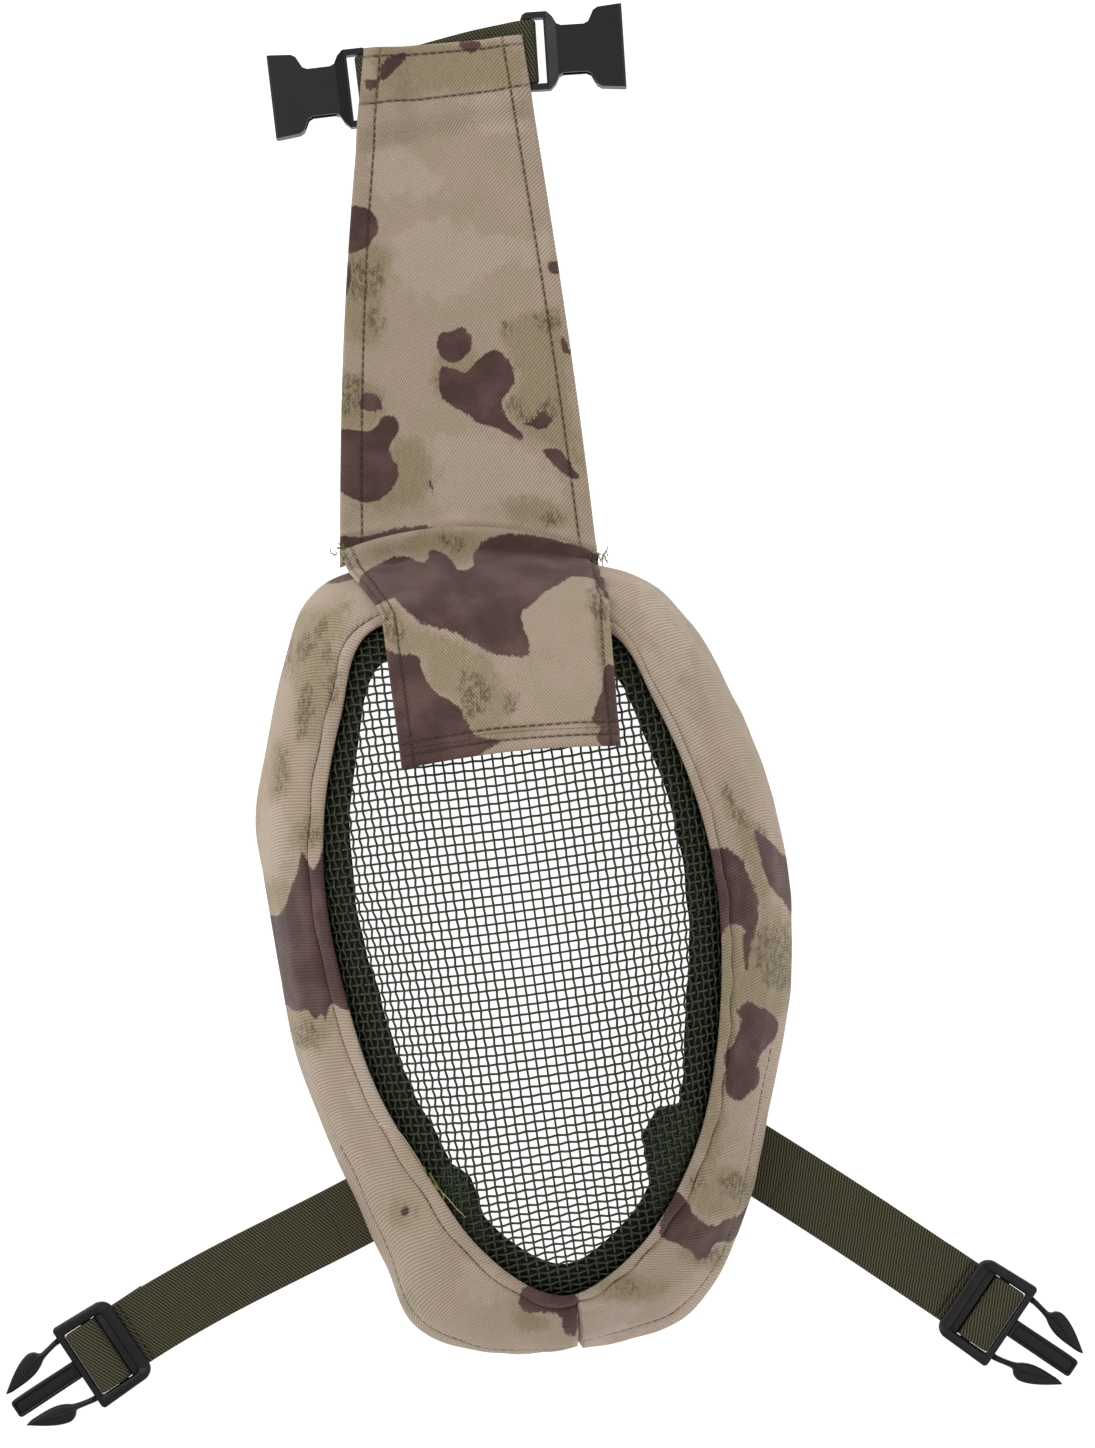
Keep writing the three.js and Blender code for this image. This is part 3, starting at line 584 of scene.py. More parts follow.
def normalsOf(grid):
    du, dv = np.gradient(grid, axis=0), np.gradient(grid, axis=1)
    n = np.cross(du, dv)
    n /= np.maximum(np.linalg.norm(n, axis=-1, keepdims=True), 1e-9)
    return n if n[..., 2].mean() > 0 else -n


def runs(grid, axis):                            # distance along the grid's rows or columns
    step = np.linalg.norm(np.diff(grid, axis=axis), axis=-1)
    pad = [(1, 0) if i == axis else (0, 0) for i in range(2)]
    return np.cumsum(np.pad(step, pad), axis=axis)


class Cloth:                                     # a cloth piece as a grid of its middle surface
    def __init__(self, grid, thick, hemWidth=0.9, sides="uv"):
        self.grid, self.normal = grid, normalsOf(grid)
        self.u, self.v = runs(grid, 0), runs(grid, 1)
        edge = np.full(grid.shape[:2], 1e3)
        if "u" in sides:
            edge = np.minimum(edge, np.minimum(self.u, self.u[-1:] - self.u))
        if "v" in sides:
            edge = np.minimum(edge, np.minimum(self.v, self.v[:, -1:] - self.v))
        self.half = thick / 2 * np.sqrt(np.clip(1 - (1 - np.clip(edge / hemWidth, 0, 1)) ** 2, 0.02, 1))

    def rings(self):
        top = self.grid + self.normal * self.half[..., None]
        low = self.grid - self.normal * self.half[..., None]
        return np.concatenate([top, low[:, ::-1]], 1)

    def weave(self):
        flat = np.stack([self.u, self.v, 0 * self.u], -1)
        return np.concatenate([flat, flat[:, ::-1]], 1)

    seams = ()                                   # up to three distances to a line of stitches

    def seam(self):
        lines = [*self.seams, *[np.full(self.u.shape, 99.0)] * (3 - len(self.seams))]
        flat = np.stack(lines, -1)
        return np.concatenate([flat, flat[:, ::-1]], 1)

    def top(self, i, j, lift=0.0):               # points and normals at fractional grid places
        i, j = np.clip(i, 0, self.grid.shape[0] - 1.001), np.clip(j, 0, self.grid.shape[1] - 1.001)
        i0, j0 = i.astype(int), j.astype(int)
        fi, fj = (i - i0)[:, None], (j - j0)[:, None]
        def mix(g):
            return lerp(lerp(g[i0, j0], g[i0 + 1, j0], fi), lerp(g[i0, j0 + 1], g[i0 + 1, j0 + 1], fi), fj)
        normal = mix(self.normal)
        half = mix(self.half[..., None])
        return mix(self.grid) + normal * (half + lift), normal

    def inset(self, distance, fromEnd=False):    # grid place along v at a distance from its hem, for each row
        rows = np.arange(self.grid.shape[0])
        distance = np.broadcast_to(distance, rows.shape)
        at = [np.interp(self.v[i, -1] - d if fromEnd else d, self.v[i], np.arange(self.grid.shape[1]))
              for i, d in zip(rows, distance)]
        return rows.astype(float), np.array(at)

    def insetU(self, distance, fromEnd=False):
        columns = np.arange(self.grid.shape[1])
        distance = np.broadcast_to(distance, columns.shape)
        at = [np.interp(self.u[-1, j] - d if fromEnd else d, self.u[:, j], np.arange(self.grid.shape[0]))
              for j, d in zip(columns, distance)]
        return np.array(at), columns.astype(float)


def insideOf(x, y, outlines):                    # how far inside any of the smooth outlines, below 0 outside
    flat = np.stack([np.ravel(x), np.ravel(y)], 1)
    total = np.full(len(flat), -12.0)
    for outline in outlines:
        a = through(outline, len(outline) * 5, closed=True)
        b = np.roll(a, -1, 0)
        near = np.flatnonzero(((flat > a.min(0) - 12) & (flat < a.max(0) + 12)).all(1))
        p, d = flat[near][:, None], b - a
        k = np.clip(((p - a) * d).sum(-1) / np.maximum((d * d).sum(-1), 1e-9), 0, 1)
        gap = np.linalg.norm(p - a - k[..., None] * d, axis=-1).min(1)
        turns = (a[:, 1] > p[..., 1]) != (b[:, 1] > p[..., 1])
        crossed = turns & (p[..., 0] < d[:, 0] * (p[..., 1] - a[:, 1]) / (d[:, 1] + 1e-12) + a[:, 0])
        total[near] = np.maximum(total[near], np.where(crossed.sum(1) % 2 == 1, gap, -gap))
    return total.reshape(np.shape(x))


def camoFields(points, camo):
    x, y = points[..., 0], points[..., 1]
    return {name: insideOf(x, y, camo.get(name, [])) for name in ("plum", "khaki", "speck", "pale")}


def roundLine(points, radius, sides=8, up=None, taper=None):
    points = np.array(points, float)
    along = np.gradient(points, axis=0)
    along /= np.maximum(np.linalg.norm(along, axis=1, keepdims=True), 1e-9)
    if up is None:
        up = np.tile([0.02, 0.03, 1.0], (len(points), 1))
    side = np.cross(along, up)
    side /= np.maximum(np.linalg.norm(side, axis=1, keepdims=True), 1e-9)
    rise = np.cross(side, along)
    angles = (np.arange(sides) + 0.5) / sides * 2 * math.pi
    radius = np.broadcast_to(radius, len(points)) * (1 if taper is None else taper)
    round = side[:, None] * np.cos(angles)[:, None] + rise[:, None] * np.sin(angles)[:, None]
    return points[:, None] + round * radius[:, None, None]


def stitches(points, normals, length=2.6, space=0.4, radius=0.2, sink=0.1):   # raised, along a line on cloth
    run = np.concatenate([[0], np.cumsum(np.linalg.norm(np.diff(points, axis=0), axis=1))])
    pieces = []
    for at in np.arange(space, run[-1] - length, length + space):
        k = np.linspace(0, 1, 6)
        p = np.stack([np.interp(at + k * length, run, points[:, i]) for i in range(3)], 1)
        n = np.stack([np.interp(at + k * length, run, normals[:, i]) for i in range(3)], 1)
        arch = np.sqrt(np.maximum(0, 1 - (2 * k - 1) ** 4))
        p = p + n * (arch * (sink + radius * 0.6) - sink * 1.6)[:, None]
        pieces.append(roundLine(p, radius, 6, n, taper=0.45 + 0.55 * arch))
    return pieces


def ribbon(points, side, width, thick, edge=0.45):   # a webbing strip; side is the unit vector across it
    points, side = np.array(points, float), np.array(side, float)
    along = np.gradient(points, axis=0)
    along /= np.linalg.norm(along, axis=1, keepdims=True)
    rise = np.cross(side, along)
    rise /= np.linalg.norm(rise, axis=1, keepdims=True)
    w = np.array([-0.5, -0.485, -0.46, -0.4, -0.25, -0.08, 0.08, 0.25, 0.4, 0.46, 0.485, 0.5])
    h = np.array([edge * 0.5, 0.8, 1.05, 1, 1, 1, 1, 1, 1, 1.05, 0.8, edge * 0.5]) * 0.5
    upper = np.stack([w * width, h * thick], 1)
    section = np.concatenate([upper, upper[::-1] * [1, -1]])
    rings = points[:, None] + side[:, None] * section[:, :1] + rise[:, None] * section[:, 1:]
    run = np.concatenate([[0], np.cumsum(np.linalg.norm(np.diff(points, axis=0), axis=1))])
    weave = np.stack(np.broadcast_arrays(section[None, :, 0], run[:, None], 0.0), -1)
    return rings, weave


def headed(degrees): return np.array([math.cos(math.radians(degrees)), math.sin(math.radians(degrees))])


def planPath(start, startHeading, end, endHeading):
    start, end = np.array(start[:2], float), np.array(end[:2], float)
    length = np.linalg.norm(end - start)
    d0, d1 = headed(startHeading), headed(endHeading)

    def at(s):
        s = np.atleast_1d(np.asarray(s, float))
        k = np.clip(s / length, 0, 1)[:, None]
        p = (2 * k**3 - 3 * k**2 + 1) * start + (k**3 - 2 * k**2 + k) * length * d0 \
            + (3 * k**2 - 2 * k**3) * end + (k**3 - k**2) * length * d1
        return p + np.where(s < 0, s, 0)[:, None] * d0 + np.maximum(0, s - length)[:, None] * d1

    def heading(s):
        d = at(np.asarray(s) + 0.05) - at(np.asarray(s) - 0.05)
        return d / np.linalg.norm(d, axis=1, keepdims=True)
    return length, at, heading


def onPath(path, line):                          # (s, z) pairs to points and their side vectors
    line = np.array(line, float)
    p, d = path[1](line[:, 0]), path[2](line[:, 0])
    return np.column_stack([p, line[:, 1]]), np.column_stack([-d[:, 1], d[:, 0], 0 * d[:, 0]])


def placed(points, x, y, heading):               # local (s, w, z) to the frame
    c, s = math.cos(math.radians(heading)), math.sin(math.radians(heading))
    p = np.asarray(points, float)
    return np.stack([x + p[..., 0] * c - p[..., 1] * s, y + p[..., 0] * s + p[..., 1] * c, p[..., 2]], -1)


print("helpers ready")

# woven wire mesh
wireMesh = {"acrossPitch": 3.46, "alongPitch": 3.2, "turn": 8.3, "radius": 0.41, "crimp": 0.4,
            "underCloth": 7.0, "perCell": 4, "depthBelow": 0.95}


def wireNet():
    turn = math.radians(wireMesh["turn"])
    axes = np.array([[math.cos(turn), math.sin(turn)], [-math.sin(turn), math.cos(turn)]])
    pitch = [wireMesh["acrossPitch"], wireMesh["alongPitch"]]
    reach = [32, 56]
    net = np.full((2 * reach[0] + 1, 2 * reach[1] + 1, 3), np.nan)
    middle = np.array(reach)
    net[tuple(middle)] = [*crown[:2], dome["depth"]]
    for axis in (0, 1):                          # the two wires through the crown
        for sign in (1, -1):
            out = np.arange(0, 220, 0.2)
            line = crown[:2] + sign * out[:, None] * axes[axis]
            line = np.column_stack([line, domeZ(line[:, 0], line[:, 1])])
            run = np.concatenate([[0], np.cumsum(np.linalg.norm(np.diff(line, axis=0), axis=1))])
            radii = np.hypot(*(line[:, :2] - crown[:2]).T)
            angle = np.arctan2(sign * axes[axis][1], sign * axes[axis][0])
            last = np.interp(meshRadius(angle) * 0.97, radii, run)
            for n in range(1, reach[axis] + 1):
                if n * pitch[axis] > last:
                    break
                place = middle.copy()
                place[axis] += sign * n
                net[tuple(place)] = [np.interp(n * pitch[axis], run, line[:, i]) for i in range(3)]
    for sx in (1, -1):                           # each quarter, one diagonal at a time
        for sy in (1, -1):
            for total in range(2, sum(reach) + 1):
                i = np.arange(max(1, total - reach[1]), min(reach[0], total - 1) + 1)
                j = total - i
                a = net[middle[0] + sx * (i - 1), middle[1] + sy * j]
                b = net[middle[0] + sx * i, middle[1] + sy * (j - 1)]
                o = net[middle[0] + sx * (i - 1), middle[1] + sy * (j - 1)]
                good = ~np.isnan(a[:, 0] + b[:, 0] + o[:, 0])
                if not good.any():
                    continue
                i, j, a, b, o = i[good], j[good], a[good], b[good], o[good]
                p = (a + b - o)[:, :2]
                for _ in range(9):
                    z = domeZ(p[:, 0], p[:, 1])
                    zx = (domeZ(p[:, 0] + 0.05, p[:, 1]) - z) / 0.05
                    zy = (domeZ(p[:, 0], p[:, 1] + 0.05) - z) / 0.05
                    full = np.column_stack([p, z])
                    da, db = full - a, full - b
                    fa, fb = (da**2).sum(1) - pitch[0] ** 2, (db**2).sum(1) - pitch[1] ** 2
                    j11, j12 = 2 * (da[:, 0] + da[:, 2] * zx), 2 * (da[:, 1] + da[:, 2] * zy)
                    j21, j22 = 2 * (db[:, 0] + db[:, 2] * zx), 2 * (db[:, 1] + db[:, 2] * zy)
                    det = j11 * j22 - j12 * j21
                    det = np.where(np.abs(det) < 1e-6, 1e-6, det)
                    step = np.column_stack([fa * j22 - fb * j12, fb * j11 - fa * j21]) / det[:, None]
                    p = p - np.clip(step, -1.5, 1.5)
                z = domeZ(p[:, 0], p[:, 1])
                angle = np.arctan2(p[:, 1] - crown[1], p[:, 0] - crown[0])
                inside = np.hypot(*(p - crown[:2]).T) < meshRadius(angle) * 0.955
                full = np.column_stack([p, z])
                full[~inside] = np.nan
                net[middle[0] + sx * i, middle[1] + sy * j] = full
    return net


def wireSurface(net):
    angle = np.arctan2(net[..., 1] - crown[1], net[..., 0] - crown[0])
    radius = np.hypot(net[..., 0] - crown[0], net[..., 1] - crown[1])
    keep = ~np.isnan(net[..., 0]) & (radius < hemRadius(np.nan_to_num(angle)) + wireMesh["underCloth"])
    x, y = np.nan_to_num(net[..., 0], nan=crown[0]), np.nan_to_num(net[..., 1], nan=crown[1])
    z = domeZ(x, y)
    slope = np.stack([-(domeZ(x + 0.1, y) - z) / 0.1, -(domeZ(x, y + 0.1) - z) / 0.1, np.ones_like(x)], -1)
    return keep, slope / np.linalg.norm(slope, axis=-1, keepdims=True)


def wires(net, keep, normal, flip):
    pieces = []
    if flip:
        net, keep, normal = net.swapaxes(0, 1), keep.swapaxes(0, 1), normal.swapaxes(0, 1)
    for row in range(net.shape[1]):              # one wire along axis 0
        good = np.flatnonzero(keep[:, row])
        if len(good) < 3:
            continue
        for piece in np.split(good, np.flatnonzero(np.diff(good) > 1) + 1):
            if len(piece) < 3:
                continue
            p, n = net[piece, row], normal[piece, row]
            count = (len(piece) - 1) * wireMesh["perCell"] + 1
            line, up = through(p, count), through(n, count)
            phase = piece[0] + np.arange(count) / wireMesh["perCell"] + row + (1 if flip else 0)
            line = line + up * (np.cos(math.pi * phase) * wireMesh["crimp"] - wireMesh["depthBelow"])[:, None]
            pieces.append(roundLine(line, wireMesh["radius"], 6, up))
    return pieces


net = wireNet()
keep, netNormal = wireSurface(net)
acrossWires = skin("meshWiresAcross", wires(net, keep, netNormal, False), wirePaint, body="mask")
alongWires = skin("meshWiresAlong", wires(net, keep, netNormal, True), wirePaint, body="mask")
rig.replaces(acrossWires, "mesh_shell")
for piece in (acrossWires, alongWires):
    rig.slot(piece, "wire_paint")
print("wire mesh woven:", len(acrossWires.data.polygons), len(alongWires.data.polygons), "faces")

# padded cloth covers
covers = {"rimStitch": 22, "hemThick": 1.7, "sweptRows": 62, "columns": 330, "stitchLeft": 7.2,
          "stitchRight": 4.6, "wrinkle": 0.45, "sag": 0.9}
seams = {"left": (110.4, 113.4), "right": (80.4, 83.2), "bottom": (-82.5, -83.5)}   # degrees at hem and rim
coverPale = [
    [(33.5, 46.5), (40.5, 43), (51, 21.5), (47, 14), (36.5, 28)],
    [(32.5, 24.5), (40, 24.5), (53.5, -7), (50, -20.5), (39.5, 7)],
    [(-102, -35.5), (-94, -28), (-90, -42), (-97, -57), (-102, -53.5)],
    [(-66.5, -111.5), (-59.5, -125), (-51, -142), (-58, -143), (-69, -129.5)],
    [(-29.5, -187.5), (-16, -193), (-16, -202.5), (-27, -203)],
    [(-73, 42.5), (-61.5, 46), (-58.5, 37), (-68.5, 21), (-74, 28)],
    [(10, -201.5), (33, -204), (26.5, -218.5), (11.5, -223.5)]]
leftCamo = {
    "plum": [
        [(-88, -54.5), (-86.5, -49), (-85.5, -45.5), (-83.5, -49.5), (-81, -52.5), (-78, -45), (-75, -41),
         (-72.5, -42), (-69.5, -52), (-68, -65.5), (-66.5, -79.5), (-65.5, -93.5), (-64, -100.5),
         (-70.5, -101), (-73, -100), (-75, -99.5), (-77.5, -106), (-79, -103.5), (-81.5, -105.5),
         (-84.5, -102), (-87.5, -103), (-91, -102.5), (-95.5, -101.5), (-97.5, -93), (-100, -82.5),
         (-101, -71), (-94, -68.5), (-90.5, -60.5)],
        [(-81, 49.5), (-76.5, 52.5), (-72, 56), (-66, 52.5), (-72, 49.5), (-77.5, 49)],
        [(-8.5, -198.5), (-4, -196), (3, -198), (10, -200.5), (10, -217), (5.5, -214), (5, -209.5),
         (-0.5, -208), (-8, -207), (-10, -203.5)],
        [(-51, -171), (-48.5, -169.5), (-47.5, -172.5), (-50.5, -173.5)]],
    "khaki": [
        [(-88, 38.5), (-78.5, 40.5), (-69.5, 42.5), (-70.5, 33.5), (-74, 24.5), (-72, 14), (-72.5, 5.5),
         (-77, 2), (-82, -7.5), (-87, -6), (-88, 7), (-90.5, 17), (-92, 28.5)],
        [(-102, -59), (-93, -56.5), (-90.5, -62), (-95.5, -68.5), (-102, -68.5)],
        [(-88, -35.5), (-78.5, -33), (-76.5, -40), (-82.5, -45.5), (-87, -45.5)],
        [(-93.5, -101.5), (-76, -101.5), (-75, -108.5), (-80.5, -116), (-89, -116.5), (-94, -111)],
        [(-97.5, -8.5), (-92.5, -7), (-91, -24.5), (-98, -28.5)],
        [(-56, -170), (-51, -167), (-46, -169), (-45.5, -173), (-50, -177), (-55, -177)],
        [(-12, -203), (-4, -206), (0, -214), (-10, -213)],
        [(-52.5, -205), (-49, -202), (-47, -211), (-51, -211)]],
    "speck": [
        [(-88, 24), (-87, 29), (-83.5, 31), (-81, 28), (-83, 22.5), (-87, 20)],
        [(-87, 5.5), (-85.5, 10.5), (-83, 13.5), (-82, 7), (-83, -0.5), (-86.5, -6)],
        [(-77, 10.5), (-76, 17), (-73, 16), (-71.5, 10.5), (-74, 6.5)],
        [(-81.5, 28), (-80.5, 34.5), (-77.5, 36.5), (-78.5, 29.5)],
        [(-77.5, 18.5), (-78, 24.5), (-76, 28), (-75, 23)],
        [(-94.5, -24.5), (-94, -10.5), (-92.5, -10.5), (-92.5, -24)],
        [(-84.5, -44), (-84, -37.5), (-80, -37), (-79.5, -42.5)],
        [(-89, -116.5), (-90, -109), (-82, -106), (-80.5, -113)],
        [(-93, 14.5), (-93, 28.5), (-91, 28.5), (-91.5, 13.5)]],
    "pale": coverPale}
rightCamo = {
    "plum": [
        [(50, -28.5), (52.5, -32.5), (53.5, -40), (55.5, -45), (58.5, -44.5), (64, -45), (68, -49),
         (71, -54.5), (73, -60), (74.5, -65), (74, -72), (71.5, -76), (69.5, -73.5), (67, -71.5),
         (63.5, -71.5), (60.5, -76), (55.5, -76), (53, -64), (52, -55.5), (50.5, -48.5), (49, -39.5)],
        [(73, -38), (76, -40.5), (80, -43.5), (83, -47), (89, -50.5), (90, -59), (90, -69.5), (84.5, -65),
         (79.5, -59.5), (77, -55), (75.5, -49.5), (74, -44)],
        [(66.5, -101.5), (71, -99), (75.5, -101), (80, -104), (82.5, -107.5), (82, -111.5), (79.5, -114.5),
         (76, -117), (74.5, -121.5), (75, -128), (71.5, -131.5), (67.5, -134), (63, -130.5), (63, -122.5),
         (62, -117), (65, -114), (67, -109.5), (68, -105)],
        [(45.5, -164), (48.5, -167), (51.5, -172), (54.5, -175.5), (59.5, -177.5), (63, -176),
         (69.5, -175.5), (73.5, -172), (71.5, -182), (66.5, -185.5), (60, -184.5), (56.5, -189),
         (53, -189.5), (49.5, -185), (45.5, -183), (40, -180), (40, -174), (42, -168.5)],
        [(69.5, -74.5), (71.5, -74.5), (71.5, -82.5), (70, -89.5), (69, -82.5)]],
    "khaki": [
        [(61, -73), (66.5, -72), (72.5, -76.5), (76.5, -63.5), (85.5, -69.5), (89.5, -86), (88.5, -100),
         (82, -106), (71, -98.5), (67, -101), (67.5, -112.5), (61.5, -118.5), (59.5, -97.5)],
        [(66.5, -32), (73, -36), (76.5, -53), (79.5, -61), (74.5, -63.5), (71, -52.5), (67, -44)],
        [(48, -160), (53.5, -156), (67, -157.5), (75, -164.5), (73, -173.5), (62.5, -176), (55.5, -174),
         (50, -169)],
        [(50.5, -182), (62, -185.5), (67.5, -188), (63, -195.5), (52.5, -192), (45.5, -185.5)],
        [(18.5, -197), (36.5, -195), (43, -198.5), (33, -204), (20, -203.5)],
        [(55.5, -157.5), (59, -118.5), (62, -119), (63, -133), (59, -158)],
        [(61, -22.5), (64.5, -24.5), (67.5, -38), (63, -32)]],
    "speck": [
        [(74.5, -74), (86, -73.5), (86.5, -95), (76.5, -92)],
        [(65.5, -31), (69, -32.5), (69.5, -38), (66.5, -36.5)],
        [(62.5, -21.5), (64.5, -23), (65, -30), (63, -28)],
        [(50, -160), (54, -160), (55.5, -163), (51.5, -163)],
        [(61, -160.5), (70, -162), (71, -168), (63, -167)],
        [(54, -187), (63, -188.5), (60.5, -194)],
        [(72, -36.5), (76.5, -36.5), (76.5, -46), (73.5, -46)],
        [(25, -198.5), (31.5, -197.5), (30.5, -201.5)]],
    "pale": coverPale}


def seamAngle(seam, t, shift=0.0):
    hem, rim = seam
    start = hemLevel(math.radians(hem))
    return np.radians(lerp(hem + shift * 1.3, rim + shift, (t - start) / (1 - start)))


def coverCloth(first, last, stitchAt, seed):
    count, rows = covers["columns"], covers["sweptRows"]
    u = np.linspace(0, 1, count)[:, None]
    k = (np.linspace(0, 1, rows) ** 1.2)[None, :]
    middle = np.radians(lerp(first[0], last[0], u))
    level = bandLevel(middle, k)
    a = lerp(seamAngle(first, level), seamAngle(last, level), u)
    t = bandLevel(a, k)
    foot = 6                                     # rows below the mesh's lower edge, down to the ground
    low = np.linspace(0, 1, foot + 1)[None, 1:]
    aLow = np.repeat(a[:, -1:], foot, 1)
    fromTop = np.minimum(u * 1.0, 1.0) * np.linalg.norm(np.ptp(onDish(a[:, 0], t[:, 0]), axis=0)) * 2.2
    nearTop = ease(fromTop / 34) * np.ones_like(k)
    swellAt = lerp(covers["hemThick"], dome["swell"], ease(k * 2)) + 0.9 * np.sin(math.pi * k) ** 2
    swellAt = lerp(np.minimum(swellAt, 1.9), swellAt, nearTop)
    outer = onDish(a, t, dome["layerGap"] + swellAt)
    inner = onDish(a, t, dome["layerGap"])
    reachOut = (meshRadius(aLow) + lerp(3.2, dome["swell"], nearTop[:, -1:]))
    base = np.stack([crown[0] + reachOut * np.cos(aLow), crown[1] + reachOut * np.sin(aLow), 0 * aLow], -1)
    inBase = np.stack([crown[0] + (meshRadius(aLow) + 0.7) * np.cos(aLow),
                       crown[1] + (meshRadius(aLow) + 0.7) * np.sin(aLow), 0 * aLow], -1)
    bow = np.sin(math.pi * low[..., None]) * 0.7
    out = np.stack([np.cos(aLow), np.sin(aLow), 0 * aLow], -1)
    outer = np.concatenate([outer, lerp(outer[:, -1:], base, low[..., None]) + out * bow], 1)
    inner = np.concatenate([inner, lerp(inner[:, -1:], inBase, low[..., None])], 1)
    across = runs((outer + inner) / 2, 1)
    around = runs((outer + inner) / 2, 0)
    n = normalsOf(outer)
    # hem roll, a dip at the stitch line, then soft folds
    stitch = stitchAt(u[:, 0])[:, None]
    off = across - stitch
    shape = -1.0 * hump(off, 0, 0.9) + 0.65 * hump(across, stitch * 0.5, stitch * 0.36)
    shape = shape + 0.35 * hump(off, 3.2, 2.0)
    pleat = ripple(around, across * 0.35, seed, 15) * np.exp(-np.maximum(off, 0) / 16) * covers["wrinkle"]
    sag = covers["sag"] * ripple(around, across, seed + 1, 62)
    shape = shape + pleat * ease(across / 3) + sag * ease(across / 22)
    shape = shape + 0.25 * ripple(around, across * 1.3, seed + 2, 21) * ease(across / 12)
    rimDip = across[:, -1:] - across
    shape = shape - 0.5 * hump(rimDip, covers["rimStitch"], 1.1) * ease((0.5 - np.abs(u - 1)) * 4)
    shape = shape * ease(rimDip / 6)
    outer = outer + n * shape[..., None]
    outer[..., 2] = np.maximum(outer[..., 2], 0.02)
    cloth = Cloth((outer + inner) / 2, np.linalg.norm(outer - inner, axis=-1), 1.1, "uv")
    bottomOnly = np.where(np.abs(u - 1) < 0.33, 0, 60)
    cloth.seams = (off, rimDip - covers["rimStitch"] + bottomOnly)
    return cloth


def leftStitch(u): return covers["stitchLeft"] - 2.2 * hump(u, 0, 0.1) - 1.2 * hump(u, 1, 0.12)


def rightStitch(u): return covers["stitchRight"] + 1.6 * hump(u, 0.72, 0.16) - 0.6 * hump(u, 1, 0.1)


bottomTurned = (seams["bottom"][0] + 360, seams["bottom"][1] + 360)
coverPieces = {}
for side, first, last, stitchAt, camo, seed in (
        ("left", seams["left"], bottomTurned, leftStitch, leftCamo, 11),
        ("right", seams["right"], seams["bottom"], rightStitch, rightCamo, 23)):
    cloth = coverCloth(first, last, stitchAt, seed)
    rings = cloth.rings()
    cover = skin("cover" + side.title(), rings, camoCloth, body="mask", weave=cloth.weave(),
                 fields=camoFields(rings, camo), seam=cloth.seam())
    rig.replaces(cover, "cover_" + side)
    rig.slot(cover, "camo_cloth")
    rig.padded(cover, 0.45)
    u = np.linspace(0, 1, cloth.grid.shape[0])
    i, j = cloth.inset(stitchAt(u))
    p, n = cloth.top(i[4:-2], j[4:-2])
    thread = skin("hemStitches" + side.title(), stitches(p, n), seamThread, body="mask")
    i, j = cloth.inset(covers["rimStitch"], True)
    span = (u > (0.66 if side == "left" else 0.60))
    p, n = cloth.top(i[span][:-2], j[span][:-2])
    skin("rimStitches" + side.title(), stitches(p, n), seamThread, body="mask")
    coverPieces[side] = cloth
print("covers made")

# lining, patches and foam inside
lining = {"show": 8.0, "thick": 2.6, "depth": 2.6, "foamWidth": 9, "foamHeight": 8.4, "columns": 240}


def liningBand():
    a = np.linspace(0, 2 * math.pi, lining["columns"], endpoint=False)[:, None]
    edge = levelOf(a, hemRadius(a) - lining["show"] - 0.5 * ripple(a * 90, 0 * a, 5, 30))
    k = np.linspace(0, 1, 22)[None, :]
    t = lerp(edge, bandLevel(a, 0.88), k)
    grid = onDish(a, t, -(lining["depth"] + lining["thick"] / 2))
    cloth = Cloth(np.concatenate([grid, grid[:1]]), lining["thick"], 1.2, "v")
    return cloth


band = liningBand()
liningRings = band.rings()[:-1]
liningPiece = skin("liningBand", liningRings, liningCloth, closed=True, body="mask", weave=band.weave()[:-1])
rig.replaces(liningPiece, "lining_band")
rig.slot(liningPiece, "padding")
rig.padded(liningPiece, 0.3)

foamTurn = np.linspace(0, 2 * math.pi, 240, endpoint=False)
strapExits = {"left": 233.5, "right": 319.7}
notch = np.zeros_like(foamTurn)
for exitAngle in strapExits.values():
    off = foamTurn - math.radians(exitAngle)
    away = np.abs(np.arctan2(np.sin(off), np.cos(off)))
    notch = np.maximum(notch, ease((13.8 - away * (meshRadius(foamTurn) - 4)) / 1.2))
corner = np.array([(0.0, 1.0), (0.25, 1.0), (0.75, 1.0), (0.94, 0.98), (1.0, 0.85), (1.0, 0.2), (0.94, 0.0),
                   (0.7, 0.0), (0.3, 0.0), (0.06, 0.0), (0.0, 0.2), (0.0, 0.85)])
foamOut = meshRadius(foamTurn) - 0.2
foamRings = []
for x, z in corner:
    low = 0.05 + 1.9 * notch
    height = lerp(low, lining["foamHeight"], z)
    radius = foamOut - lining["foamWidth"] * (1 - x) - 0.6 * (z > 0.5) * x
    radius = np.minimum(radius, ringRadius(foamTurn, levelAt(foamTurn, np.maximum(height, 0.3))) - 0.1)
    foamRings.append(np.stack([crown[0] + radius * np.cos(foamTurn), crown[1] + radius * np.sin(foamTurn),
                               height], -1))
foam = skin("rimFoam", np.stack(foamRings, 1), foamSkin, closed=True, body="mask")
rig.replaces(foam, "edge_foam")
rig.slot(foam, "padding")
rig.padded(foam, 0.8)

